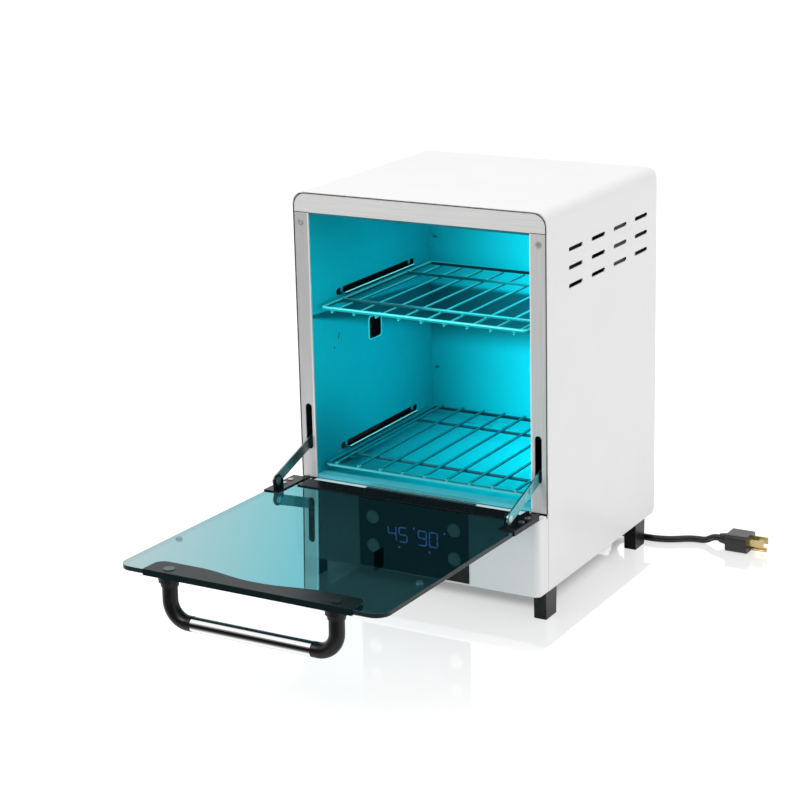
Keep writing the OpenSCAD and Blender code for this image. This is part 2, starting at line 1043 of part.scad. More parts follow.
// A round tube of diameter d along a path that never runs along Y
module tube_along(path, d, sides) {
    rings = len(path);
    points = [for (i = [0 : rings - 1])
        let (t = heading(path, i), u = unit(cross(t, [0, 1, 0])), v = cross(t, u))
        for (k = [0 : sides - 1])
            path[i] + d / 2 * (cos(360 * k / sides) * u + sin(360 * k / sides) * v)];
    walls = [for (i = [0 : rings - 2], k = [0 : sides - 1])
        [i * sides + k, i * sides + (k + 1) % sides,
            (i + 1) * sides + (k + 1) % sides, (i + 1) * sides + k]];
    start = [for (k = [0 : sides - 1]) sides - 1 - k];
    end = [for (k = [0 : sides - 1]) (rings - 1) * sides + k];
    polyhedron(points, concat([start], walls, [end]));
}

module power_cord() {
    color([0.05, 0.05, 0.055])
        tube_along(cord_path, cord_d, 16);
}

module plug_body() {
    tail_l = 10;
    color([0.05, 0.05, 0.055])
        translate([plug_x, turn2[1], plug_z])
            union() {
                rotate([0, 90, 0])
                    cylinder(d1 = 9, d2 = 13, h = tail_l + eps);
                translate([tail_l, 0, 0])
                    rotate([90, 0, 90])
                        linear_extrude(plug_l - tail_l)
                            round_rect(plug_w, plug_h, 4);
            }
}

module plug_pins() {
    color("silver")
        translate([plug_x + plug_l, turn2[1], plug_z]) {
            for (y = [-1, 1])
                translate([0, y * 6.35 - 0.75, -1])
                    cube([15.9, 1.5, 6.35]);
            translate([0, 0, -5])
                rod_x(4.8, 17);
        }
}

// ---------------------------------------------------------------- racks

// A closed wire frame with round corners, centred on X, from y = 0 backwards
module rack_frame() {
    half = rack_w / 2 - frame_wire_d / 2;
    y0 = frame_wire_d / 2;
    y1 = rack_d - frame_wire_d / 2;
    r = wire_bend_r;
    for (y = [y0, y1])
        translate([-half + r, y, 0])
            rod_x(frame_wire_d, 2 * (half - r));
    for (x = [-half, half])
        translate([x, y0 + r, 0])
            rod_y(frame_wire_d, y1 - y0 - 2 * r);
    for (c = [[-1, y0 + r, 180], [1, y0 + r, 270], [1, y1 - r, 0], [-1, y1 - r, 90]])
        translate([c[0] * (half - r), c[1], 0])
            rotate(c[2])
                bend(r, frame_wire_d, 90);
}

// side +1 puts the front-to-back wires on top of the frame, -1 below it
module rack(z, side) {
    wire_z = side * (frame_wire_d + thin_wire_d - 2 * weld_sink) / 2;
    half = rack_w / 2 - frame_wire_d / 2;
    color("aquamarine")
        translate([rack_x, rack_front_y, z])
            union() {
                rack_frame();
                for (i = [0 : rack_wires - 1])
                    translate([(i - (rack_wires - 1) / 2) * rack_pitch, 0.3, wire_z])
                        rod_y(thin_wire_d, rack_d - 0.6);
                for (y = cross_bar_y)
                    translate([-half, y - rack_front_y, 0])
                        rod_x(cross_wire_d, 2 * half);
            }
}

module rack_upper() { rack(rack_high_z, -1); }

module rack_lower() { rack(rack_low_z, 1); }

// ---------------------------------------------------------------- door

module glass_outline() {
    r = glass_r;
    half = glass_w / 2;
    end = door_len - strip_lip;
    translate([-half, -end + r])
        square([glass_w, end - r - glass_s0]);
    translate([-half + r, -end])
        square([glass_w - 2 * r, r + 1]);
    for (x = [-1, 1])
        translate([x * (half - r), -end + r])
            circle(r);
}

module glass_panel() {
    color([0.3, 0.5, 0.52, 0.5])
        at_door()
            difference() {
                translate([0, 0, glass_n])
                    linear_extrude(glass_t)
                        glass_outline();
                for (p = door_holes())
                    translate([p[0], -p[1], glass_n - 1])
                        cylinder(d = p[2], h = glass_t + 2);
            }
}

// Holes of the glass: [x, s, diameter]
function door_holes() = concat(
    [for (x = [-1, 1], s = bracket_screw_s()) [x * bracket_screw_x, s, bracket_screw_d + 1]],
    [for (x = [-1, 1]) [x * handle_x, handle_s, handle_screw_d + 1]]);

bracket_screw_x = 124;
bracket_screw_d = 3;
handle_screw_d = 4;

function bracket_screw_s() = [18, 30];

module hinge_bar() {
    color([0.05, 0.05, 0.055])
        at_door()
            union() {
                door_block(-110, 110, 7.7, 28.7, glass_n + glass_t, glass_n + glass_t + plate_t);
                door_block(-110, 110, 7.7, glass_s0, glass_n + bar_lip_up, glass_n + glass_t + eps);
            }
}

// The right hinge bracket: clamp over the glass edge, hinge leg and arm ear
module hinge_bracket() {
    top = glass_n + glass_t;
    color([0.05, 0.05, 0.055])
        at_door()
            difference() {
                union() {
                    door_block(bracket_in, bracket_out, 3.5, bracket_s, top, top + plate_t);
                    door_block(glass_w / 2 + 0.1, bracket_out, 6.2, bracket_s, glass_n + 0.3,
                        top + eps);
                    door_block(leg_x, bracket_out, 6.2, glass_s0 - 0.1, glass_n + 0.3, top + eps);
                    door_block(leg_x, leg_x + leg_t, -1, 4, 0, top + plate_t);
                    translate([leg_x, 0, 0])
                        rod_x(8, leg_t);
                    door_block(ear_x, ear_x + ear_t, pivot_s - 9, pivot_s + ear_r, top, pivot_n);
                    translate([ear_x, -pivot_s, pivot_n])
                        rod_x(2 * ear_r, ear_t);
                }
                translate([leg_x - 1, 0, 0])
                    rod_x(hinge_pin_d + 2 * hinge_clear, leg_t + 2);
                translate([ear_x - 1, -pivot_s, pivot_n])
                    rod_x(pivot_d + 2 * hinge_clear, ear_t + 2);
                for (s = bracket_screw_s())
                    translate([bracket_screw_x, -s, top - 1])
                        cylinder(d = bracket_screw_d + 0.2, h = plate_t + 2);
            }
}

module hinge_bracket_left() { mirror([1, 0, 0]) hinge_bracket(); }

module hinge_bracket_right() { hinge_bracket(); }

module bracket_screws() {
    top = glass_n + glass_t + plate_t;
    color("silver")
        at_door()
            both_sides()
                for (s = bracket_screw_s())
                    translate([bracket_screw_x, -s, 0])
                        union() {
                            translate([0, 0, top])
                                cylinder(d = 5.4, h = 0.7);
                            translate([0, 0, glass_n - 1])
                                cylinder(d = bracket_screw_d, h = top - glass_n + 1 + eps);
                            translate([0, 0, glass_n - 1.4])
                                cylinder(d = 6.4, h = 1.4);
                        }
}

// Two studs riveted to the front panel's sides, on which the door turns
module hinge_pins() {
    color("silver")
        both_sides()
            translate([0, hinge_y, hinge_z])
                union() {
                    translate([leg_x - 0.8, 0, 0])
                        rod_x(hinge_pin_d, panel_half - leg_x + 0.8);
                    translate([leg_x + leg_t + 0.3, 0, 0])
                        rod_x(7, panel_half - sheet_t - leg_x - leg_t - 1);
                }
}

// Half a cosine wave from 0 to 1, for a smooth change of width
function ease(t) = (1 - cos(180 * t)) / 2;

// Depth of the grip strip at a distance x from its centre: narrow, then a lobe at each end
function strip_depth(x) =
    strip_w + (lobe_w - strip_w) * ease(min(1, max(0, (x - strip_half + lobe_l + blend_l) / blend_l)));

// The strip on the inner face of the glass, with a lobe round each handle screw
module strip_2d() {
    steps = 12;
    inner = strip_half - lobe_l;
    curve = [for (i = [0 : steps]) let (x = inner - blend_l + blend_l * i / steps)
        [x, -door_len + strip_depth(x)]];
    both_sides() {
        polygon(concat([[-0.01, -door_len]], [[-0.01, curve[0][1]]], curve,
            [[inner + lobe_l / 2, -door_len + lobe_w], [inner + lobe_l / 2, -door_len]]));
        translate([strip_half - lobe_l / 2, -door_len + lobe_w / 2])
            round_rect(lobe_l, lobe_w, lobe_r);
        translate([0, -door_len])
            square([strip_half, lobe_w / 2]);
    }
}

// The moulded grip strip wraps round the free edge of the glass
module handle_plate() {
    top = glass_n + glass_t;
    color([0.05, 0.05, 0.055])
        at_door()
            difference() {
                union() {
                    translate([0, 0, top])
                        linear_extrude(strip_top_t)
                            strip_2d();
                    door_block(-strip_half, strip_half, door_len - strip_lip, door_len,
                        glass_n - strip_t, top + strip_top_t);
                    door_block(-strip_half, strip_half, door_len - strip_w, door_len,
                        glass_n - strip_t, glass_n);
                    for (x = [-1, 1])
                        translate([x * (strip_half - lobe_l / 2), -door_len + lobe_w / 2,
                            glass_n - strip_t])
                            linear_extrude(strip_t)
                                round_rect(lobe_l, lobe_w, lobe_r);
                }
                for (x = [-1, 1])
                    translate([x * handle_x, -handle_s, 0])
                        cylinder(d = handle_screw_d + 0.4, h = 20);
            }
}

// The right elbow: collar and neck under the strip, leg, quarter bend and a spigot in the tube
module handle_elbow() {
    collar_top = glass_n - strip_t;
    leg_bottom = handle_n + elbow_r;
    bend_x = handle_x - elbow_r;
    color([0.06, 0.06, 0.065])
        at_door()
            translate([0, -handle_s, 0])
                difference() {
                    union() {
                        translate([handle_x, 0, leg_bottom])
                            cylinder(d = elbow_d, h = collar_top - leg_bottom);
                        translate([handle_x, 0, collar_top - collar_h - neck_h])
                            cylinder(d1 = neck_d - 1, d2 = neck_d, h = neck_h + eps);
                        translate([handle_x, 0, collar_top - collar_h])
                            cylinder(d1 = collar_d - 1, d2 = collar_d, h = collar_h);
                        translate([bend_x, 0, leg_bottom])
                            rotate([90, 0, 0])
                                rotate(-90)
                                    bend(elbow_r, elbow_d, 90);
                        translate([tube_l / 2, 0, handle_n])
                            rod_x(elbow_d, bend_x - tube_l / 2);
                        translate([tube_l / 2 - spigot_l, 0, handle_n])
                            rod_x(tube_d - 2 * tube_wall - 0.1, spigot_l + 1);
                    }
                    translate([handle_x, 0, collar_top - 14])
                        cylinder(d = handle_screw_d, h = 20);
                }
}

module handle_elbow_left() { mirror([1, 0, 0]) handle_elbow(); }

module handle_elbow_right() { handle_elbow(); }

module handle_tube() {
    color("silver")
        at_door()
            translate([-tube_l / 2, -handle_s, handle_n])
                difference() {
                    rod_x(tube_d, tube_l);
                    translate([-1, 0, 0])
                        rod_x(tube_d - 2 * tube_wall, tube_l + 2);
                }
}

module handle_screws() {
    top = glass_n + glass_t + strip_top_t;
    shank_l = 16;
    color([0.2, 0.22, 0.23])
        at_door()
            for (x = [-1, 1])
                translate([x * handle_x, -handle_s, top])
                    union() {
                        cylinder(d = cap_d, h = cap_t);
                        translate([0, 0, -shank_l])
                            cylinder(d = handle_screw_d, h = shank_l + eps);
                    }
}

module door_bumpers() {
    color([0.8, 0.85, 0.85])
        at_door()
            for (x = [-119, 119])
                translate([x, -(door_len - 77), glass_n + glass_t])
                    cylinder(d1 = 6.4, d2 = 5.4, h = 1.8);
}

// Each rivet joins a bracket's ear to its stay arm
module pivot_rivets() {
    stack = ear_t + arm_gap + arm_t;
    color("silver")
        at_door()
            both_sides()
                translate([ear_x, -pivot_s, pivot_n])
                    union() {
                        translate([-0.1 - rivet_head_t, 0, 0])
                            rod_x(rivet_head_d, rivet_head_t);
                        translate([-0.2, 0, 0])
                            rod_x(pivot_d, stack + 0.4);
                        translate([stack + 0.1, 0, 0])
                            rod_x(rivet_head_d, rivet_head_t);
                    }
}

// The right stay arm, from its pivot on the door up into the slot of the steel face
module arm() {
    pivot_y = hinge_y - pivot_s * cos(open_tilt) + pivot_n * sin(open_tilt);
    pivot_z = hinge_z + pivot_s * sin(open_tilt) + pivot_n * cos(open_tilt);
    color([0.55, 0.6, 0.6])
        translate([ear_x + ear_t + arm_gap, pivot_y, pivot_z])
            rotate([arm_angle, 0, 0])
                difference() {
                    union() {
                        sideways(0, arm_t)
                            translate([arm_l / 2, 0])
                                slot_2d(arm_l + arm_w, arm_w);
                        translate([arm_t - eps, arm_l * 0.52, 0])
                            rod_x(5, 0.6);
                    }
                    translate([-1, 0, 0])
                        rod_x(pivot_d + 2 * hinge_clear, arm_t + 2);
                    translate([-1, arm_l, 0])
                        rod_x(3.5, arm_t + 2);
                }
}

module arm_left() { mirror([1, 0, 0]) arm(); }

module arm_right() { arm(); }

// ---------------------------------------------------------------- assembly

// Heights above are from the bench; the part's origin is at the centre of the top face
module from_top() { translate([0, 0, -body_top]) children(); }

from_top() outer_housing();
from_top() back_panel();
from_top() back_screws();
from_top() base_plate();
from_top() feet();
from_top() foot_screws();
from_top() face_frame_top();
from_top() face_frame_left();
from_top() face_frame_right();
from_top() frame_screws();
from_top() sill();
from_top() front_panel();
from_top() control_fascia();
from_top() display_digits();
from_top() indicator_leds();
from_top() display_module();
from_top() button_upper_left();
from_top() button_lower_left();
from_top() button_upper_right();
from_top() button_lower_right();
from_top() control_board();
from_top() tact_switches();
from_top() power_board();
from_top() lamp_ballast();
from_top() liner_left();
from_top() liner_right();
from_top() liner_back();
from_top() liner_top();
from_top() liner_floor();
from_top() uv_lamp();
from_top() lamp_sockets();
from_top() lamp_reflector();
from_top() lamp_guard();
from_top() heater_pad();
from_top() temperature_sensor();
from_top() thermal_fuse();
from_top() door_sensor();
from_top() wiring_harness();
from_top() strain_relief();
from_top() power_cord();
from_top() plug_body();
from_top() plug_pins();
from_top() hinge_pins();
from_top() rack_upper();
from_top() rack_lower();
from_top() glass_panel();
from_top() hinge_bar();
from_top() hinge_bracket_left();
from_top() hinge_bracket_right();
from_top() bracket_screws();
from_top() handle_plate();
from_top() handle_elbow_left();
from_top() handle_elbow_right();
from_top() handle_tube();
from_top() handle_screws();
from_top() door_bumpers();
from_top() pivot_rivets();
from_top() arm_left();
from_top() arm_right();
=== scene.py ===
"""Looks of a UV sterilizer cabinet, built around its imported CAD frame. Metres, +Z up, front towards -Y."""
import json
import math

import bmesh
import bpy
from mathutils import Matrix, Vector


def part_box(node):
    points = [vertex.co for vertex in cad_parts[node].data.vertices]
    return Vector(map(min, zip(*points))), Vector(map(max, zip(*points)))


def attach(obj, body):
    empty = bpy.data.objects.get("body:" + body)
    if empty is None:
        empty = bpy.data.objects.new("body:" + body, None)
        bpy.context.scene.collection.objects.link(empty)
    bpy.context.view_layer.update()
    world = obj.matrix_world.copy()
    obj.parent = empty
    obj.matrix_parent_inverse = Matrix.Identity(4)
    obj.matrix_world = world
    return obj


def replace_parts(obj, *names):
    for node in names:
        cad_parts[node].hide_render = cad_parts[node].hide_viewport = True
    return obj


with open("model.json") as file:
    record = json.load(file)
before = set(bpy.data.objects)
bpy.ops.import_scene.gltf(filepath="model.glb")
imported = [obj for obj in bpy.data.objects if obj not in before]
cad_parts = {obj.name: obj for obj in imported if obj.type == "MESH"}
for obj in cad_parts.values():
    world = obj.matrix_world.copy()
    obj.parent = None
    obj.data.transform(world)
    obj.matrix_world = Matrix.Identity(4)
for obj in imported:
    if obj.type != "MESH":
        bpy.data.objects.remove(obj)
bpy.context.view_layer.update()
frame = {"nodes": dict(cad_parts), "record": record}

MM = 0.001
RECORD = frame["record"]
SLOT_OF = {part["node"]: part["material_slot"] for part in RECORD["subparts"]}


# ---------------------------------------------------------------- shader helpers

class Shader:
    """A node material with a Principled surface and short calls for the usual textures."""

    def __init__(self, name):
        self.material = bpy.data.materials.new(name)
        self.material.use_nodes = True
        self.tree = self.material.node_tree
        self.surface = self.tree.nodes["Principled BSDF"]
        self.output = self.tree.nodes["Material Output"]

    def node(self, kind, **settings):
        made = self.tree.nodes.new(kind)
        for key, value in settings.items():
            setattr(made, key, value)
        return made

    def link(self, source, target):
        self.tree.links.new(source, target)

    def feed(self, target, value):
        """Sets an input to a number, a colour or another node's output."""
        if isinstance(value, bpy.types.NodeSocket):
            self.link(value, target)
        elif isinstance(value, tuple) and len(value) == 3:
            target.default_value = (*value, 1.0)
        else:
            target.default_value = value

    def put(self, socket, value):
        """Feeds an input of the Principled surface."""
        self.feed(self.surface.inputs[socket], value)

    def place(self, stretch=(1, 1, 1)):
        """Object coordinates, scaled by axis."""
        coords = self.node("ShaderNodeTexCoord")
        mapping = self.node("ShaderNodeMapping")
        mapping.inputs["Scale"].default_value = stretch
        self.link(coords.outputs["Object"], mapping.inputs["Vector"])
        return mapping.outputs["Vector"]

    def noise(self, scale, detail=2.0, roughness=0.5, stretch=(1, 1, 1)):
        made = self.node("ShaderNodeTexNoise")
        made.inputs["Scale"].default_value = scale
        made.inputs["Detail"].default_value = detail
        made.inputs["Roughness"].default_value = roughness
        self.link(self.place(stretch), made.inputs["Vector"])
        return made.outputs["Fac"]

    def ramp(self, value, start, end, low=0.0, high=1.0, kind="SMOOTHSTEP"):
        """Maps start to end onto low to high, and holds the ends outside that."""
        made = self.node("ShaderNodeMapRange", interpolation_type=kind)
        for name, number in (("From Min", start), ("From Max", end), ("To Min", low), ("To Max", high)):
            made.inputs[name].default_value = number
        self.link(value, made.inputs["Value"])
        return made.outputs["Result"]

    def spread(self, value, low, high):
        """Maps a 0.3 to 0.7 texture value onto low to high."""
        return self.ramp(value, 0.3, 0.7, low, high, "LINEAR")

    def colours(self, share, first, second):
        """Mixes two colours, each one set or another node's output; 0 shows the first."""
        made = self.node("ShaderNodeMix", data_type="RGBA")
        self.feed(made.inputs["A"], first)
        self.feed(made.inputs["B"], second)
        self.link(share, made.inputs["Factor"])
        return made.outputs["Result"]

    def layers(self, share, first, second):
        """Mixes two shaders; 0 shows the first."""
        made = self.node("ShaderNodeMixShader")
        self.feed(made.inputs["Fac"], share)
        self.link(first, made.inputs[1])
        self.link(second, made.inputs[2])
        return made.outputs[0]

    def bump(self, height, strength, distance, normal=None):
        made = self.node("ShaderNodeBump")
        made.inputs["Strength"].default_value = strength
        made.inputs["Distance"].default_value = distance
        self.link(height, made.inputs["Height"])
        if normal is not None:
            self.link(normal, made.inputs["Normal"])
        return made.outputs["Normal"]

    def math(self, operation, *values):
        made = self.node("ShaderNodeMath", operation=operation)
        for slot, value in enumerate(values):
            self.feed(made.inputs[slot], value)
        return made.outputs[0]

    def vector(self, operation, first, second=None):
        made = self.node("ShaderNodeVectorMath", operation=operation)
        self.link(first, made.inputs[0])
        if second is not None:
            made.inputs[1].default_value = second
        return made.outputs["Vector"]

    def axes(self, vector):
        made = self.node("ShaderNodeSeparateXYZ")
        self.link(vector, made.inputs[0])
        return made.outputs

    def within(self, low, high):
        """1 inside a box given in the row's frame, else 0."""
        middle = tuple((a + b) / 2 for a, b in zip(low, high))
        half = tuple((b - a) / 2 for a, b in zip(low, high))
        offset = self.vector("ABSOLUTE", self.vector("SUBTRACT", self.place(), middle))
        over = self.axes(self.vector("SUBTRACT", offset, half))
        worst = self.math("MAXIMUM", self.math("MAXIMUM", over[0], over[1]), over[2])
        return self.math("LESS_THAN", worst, 0.0)

    def facing_in(self, centre):
        """1 on faces that look towards a centre point given in the row's frame, else 0."""
        geometry = self.node("ShaderNodeNewGeometry")
        made = self.node("ShaderNodeVectorMath", operation="DOT_PRODUCT")
        self.link(geometry.outputs["True Normal"], made.inputs[0])
        self.link(self.vector("SUBTRACT", self.place(), tuple(centre)), made.inputs[1])
        return self.math("LESS_THAN", made.outputs["Value"], 0.0)

    def cover(self, share, colour, over):
        """Puts a plain colour over a textured one where share is 1."""
        return self.colours(share, over, colour)

    def dark_to_mirrors(self, colour):
        """Shows a set dim colour to reflections, a painted reflection, so the dark glass mirrors an unlit
        cavity.
        """
        path = self.node("ShaderNodeLightPath")
        dim = self.node("ShaderNodeEmission")
        self.feed(dim.inputs["Color"], colour)
        mixed = self.layers(path.outputs["Is Glossy Ray"], self.surface.outputs[0], dim.outputs[0])
        self.link(mixed, self.output.inputs["Surface"])

    def edges(self, radius):
        """A normal that rounds sharp edges over a radius."""
        made = self.node("ShaderNodeBevel", samples=4)
        made.inputs["Radius"].default_value = radius
        return made.outputs["Normal"]


# ---------------------------------------------------------------- materials

def powder_coat(name, colour, shade, roughness, centre=None):
    """Satin powder coat: faint orange peel, slight variation of tone and gloss; with a centre given, the faces
    turned inwards are painted near-black as shade.
    """
    s = Shader(name)
    tone = s.spread(s.noise(14, 3), 0, 1)
    paint_colour = s.colours(tone, colour, shade)
    if centre:
        # painted shade: faces turned towards the centre, inside the housing, are near-black
        paint_colour = s.cover(s.facing_in(centre), (0.008, 0.008, 0.009), paint_colour)
    s.put("Base Color", paint_colour)
    s.put("Roughness", s.spread(s.noise(260, 3), roughness - 0.05, roughness + 0.07))
    s.put("Coat Weight", 0.25)
    s.put("Coat Roughness", 0.2)
    s.put("Normal", s.bump(s.noise(900, 2), 0.12, 0.0004, s.edges(0.5 * MM)))
    return s.material


def brushed(name, colour, roughness, stretch, streak=0.5, metallic=0.5):
    """Brushed sheet: fine streaks along the axis that stretch leaves short."""
    s = Shader(name)
    lines = s.noise(1.0, 4, 0.6, stretch)
    tone = s.spread(lines, 0, 1)
    dark = tuple(c * 0.86 for c in colour)
    s.put("Base Color", s.colours(tone, dark, colour))
    s.put("Metallic", metallic)
    s.put("Roughness", s.spread(lines, roughness + 0.08, roughness - 0.06))
    s.put("Normal", s.bump(lines, 0.10 * streak, 0.0002, s.edges(0.3 * MM)))
    return s.material


def plated(name, colour, roughness):
    """Zinc or nickel plate: cloudy gloss and tiny pits."""
    s = Shader(name)
    clouds = s.noise(180, 4)
    s.put("Base Color", s.colours(s.spread(clouds, 0, 1), colour, tuple(c * 0.8 for c in colour)))
    s.put("Metallic", 1.0)
    s.put("Roughness", s.spread(clouds, roughness - 0.06, roughness + 0.1))
    s.put("Normal", s.bump(s.noise(2400, 2), 0.08, 0.0002, s.edges(0.25 * MM)))
    return s.material


def moulded(name, colour, roughness, grain=0.15, radius=0.4, gloss=0.35):
    """Moulded plastic or rubber with a fine grain."""
    s = Shader(name)
    s.put("Specular IOR Level", gloss)
    light = tuple(min(1.0, c * 1.3 + 0.001) for c in colour)
    s.put("Base Color", s.colours(s.spread(s.noise(90, 3), 0, 1), colour, light))
    s.put("Roughness", s.spread(s.noise(500, 3), roughness - 0.03, roughness + 0.04))
    s.put("Normal", s.bump(s.noise(2600, 3), grain, 0.0003, s.edges(radius * MM)))
    return s.material


def chrome():
    """Bright tube with painted reflections: emission bands round it stand for a soft light above and below and
    the dark room in front.
    """
    s = Shader("bright_tube")
    haze = s.noise(1.0, 3, 0.5, (25, 1800, 1800))
    s.put("Metallic", 1.0)
    s.put("Base Color", (0.06, 0.062, 0.064))
    s.put("Roughness", s.spread(haze, 0.07, 0.13))
    s.put("Normal", s.bump(haze, 0.03, 0.0001))
    where = s.node("ShaderNodeNewGeometry")
    turn = s.axes(where.outputs["Normal"])
    around = s.math("ARCTAN2", turn[2], s.math("MULTIPLY", turn[1], -1.0))
    shine = s.node("ShaderNodeValToRGB")
    stops = shine.color_ramp.elements
    for index, (spot, level) in enumerate((BANDS[0], BANDS[-1])):
        stops[index].position = spot
        stops[index].color = (level, level, level, 1)
    for spot, level in BANDS[1:-1]:
        stops.new(spot).color = (level, level, level, 1)
    s.link(s.math("MULTIPLY_ADD", around, 1 / math.tau, 0.5), shine.inputs["Fac"])
    s.put("Emission Color", shine.outputs["Color"])
    s.put("Emission Strength", 1.0)
    return s.material


def cavity_sheet(name, low, high, shade=None):
    """Satin inner sheet with painted lamp light: painted cyan and glowing on the cavity side, with painted
    shade near the top, round the front lower left corner and near-black on its back.

    shade describes a rack's shadow painted on the sheet: the rack's height, the drop to the shadow's upper and
    lower limits at the front, how fast the lower limit falls towards the back, and how dim the sheet gets
    there."""
    s = Shader(name)
    spot = s.axes(s.place())
    lines = s.noise(1.0, 3, 0.5, (120, 120, 14))
    # painted light: the sheet's colour is the lamp's cyan
    glow = s.colours(s.spread(lines, 0, 1), (0.001, 0.62, 0.71), (0.002, 0.63, 0.73))
    # painted shade near the top of the cavity
    painted_top_shade = s.ramp(s.math("SUBTRACT", high.z, spot[2]), 0.09, 0.0, 0.0, 0.6)
    glow = s.cover(painted_top_shade, (0.001, 0.33, 0.37), glow)
    # painted shade round the front lower left corner
    corner = s.node("ShaderNodeVectorMath", operation="DISTANCE")
    s.link(s.place(), corner.inputs[0])
    corner.inputs[1].default_value = (low.x, HOUSING[0].y, low.z + 0.02)
    dim = s.ramp(corner.outputs["Value"], 0.02, 0.11, 0.60, 0.0)
    glow = s.cover(dim, (0.002, 0.16, 0.23), glow)
    # painted shade: outside the cavity the back of each sheet is near-black
    back = s.math("SUBTRACT", 1.0, s.within(low, high))
    # painted light: the sheet's glow pools round the rear right corner
    away = s.node("ShaderNodeVectorMath", operation="LENGTH")
    flat = s.node("ShaderNodeCombineXYZ")
    s.link(s.math("SUBTRACT", spot[0], high.x - 0.005), flat.inputs[0])
    s.link(s.math("SUBTRACT", spot[1], high.y - 0.025), flat.inputs[1])
    s.link(flat.outputs[0], away.inputs[0])
    pool = s.ramp(away.outputs["Value"], 0.02, 0.25, 0.70, 0.0)
    lit = s.math("MULTIPLY", pool, s.math("SUBTRACT", 1.0, back))
    if shade:
        height, upper_drop, lower_drop, slope, far_dimming = shade
        drop = s.math("SUBTRACT", height, spot[2])
        depth = s.math("SUBTRACT", spot[1], HOUSING[0].y)
        # the painted shadow spreads and drops towards the back
        upper = s.math("MULTIPLY_ADD", depth, 0.072, upper_drop)
        lower = s.math("MULTIPLY_ADD", depth, slope, lower_drop)
        start = s.ramp(s.math("DIVIDE", drop, upper), 0.8, 1.1)
        end = s.ramp(s.math("DIVIDE", drop, lower), 1.25, 0.75)
        dark = s.math("MULTIPLY", start, end)
        # painted shade: the sheet gets dimmer towards the back
        glow = s.cover(s.ramp(depth, 0.09, 0.23, 0.0, far_dimming), (0.001, 0.25, 0.30), glow)
        glow = s.cover(s.math("MULTIPLY", dark, 0.88), (0.001, 0.09, 0.125), glow)
        lit = s.math("MULTIPLY", lit, s.math("SUBTRACT", 1.0, s.math("MULTIPLY", dark, 0.85)))
    s.put("Base Color", s.cover(back, (0.008, 0.008, 0.009), glow))
    # painted glow: the sheet emits cyan where the pool of painted light lies
    s.put("Emission Color", (0.0, 0.84, 1.0))
    s.put("Emission Strength", lit)
    s.put("Metallic", 0.25)
    s.put("Roughness", s.spread(lines, 0.45, 0.41))
    s.put("Normal", s.bump(s.noise(60, 3), 0.04, 0.001, s.edges(0.3 * MM)))
    s.dark_to_mirrors((0.014, 0.026, 0.029))
    return s.material


def rack_wire(name, node, thin, bar, front_top, front_low):
    """Bright nickel wire with painted lamp light while it is behind the steel face.

    thin, bar and front_top are the painted lit colours of the thin wires, the cross bars and the front wire."""
    s = Shader(name)
    low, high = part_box(node)
    where = s.node("ShaderNodeNewGeometry")
    up = s.ramp(s.axes(where.outputs["Normal"])[2], 0.05, 0.65)
    along = s.axes(s.place())
    level = s.math("ABSOLUTE", s.math("SUBTRACT", along[2], RACK_PLANE[node]))
    in_plane = s.math("LESS_THAN", level, 1.35 * MM)
    rear = s.math("GREATER_THAN", along[1], high.y - 4.0 * MM)
    # painted light and shade: tops in the lit colour, undersides dark teal
    colour = s.colours(up, (0.0, 0.075, 0.095), thin)
    # painted light: the cross bars are paler towards the right and on top
    right = s.ramp(along[0], -0.04, 0.01)
    sheen = s.math("MULTIPLY_ADD", up, 0.6, 0.4)
    bar_colour = s.colours(s.math("MULTIPLY", sheen, right), (0.0, 0.12, 0.15), bar)
    for y in CROSS_BARS:
        near = s.math("LESS_THAN", s.math("ABSOLUTE", s.math("SUBTRACT", along[1], y)), 1.7 * MM)
        colour = s.colours(s.math("MULTIPLY", near, in_plane), colour, bar_colour)
    # painted shade: the rear wire is dark
    colour = s.cover(s.math("MULTIPLY", rear, in_plane), (0.0, 0.05, 0.07), colour)
    # the front wire has its own painted lit top and shaded underside
    in_front = s.math("LESS_THAN", along[1], low.y + 4.0 * MM)
    colour = s.colours(in_front, colour, s.colours(up, front_low, front_top))
    face_y = HOUSING[0].y
    outside = s.ramp(s.axes(where.outputs["Position"])[1], face_y + 0.004, face_y - 0.008, kind="LINEAR")
    s.put("Base Color", s.cover(outside, (0.60, 0.62, 0.62), colour))
    # painted glow: inside the cavity the wires glow in their painted colour
    s.put("Emission Color", colour)
    s.put("Emission Strength", s.math("MULTIPLY_ADD", outside, -0.25, 0.25))
    s.put("Metallic", s.math("MULTIPLY_ADD", outside, 0.6, 0.3))
    s.put("Roughness", s.spread(s.noise(220, 4), 0.36, 0.46))
    s.put("Normal", s.bump(s.noise(700, 2), 0.03, 0.0001))
    s.dark_to_mirrors((0.012, 0.03, 0.034))
    return s.material


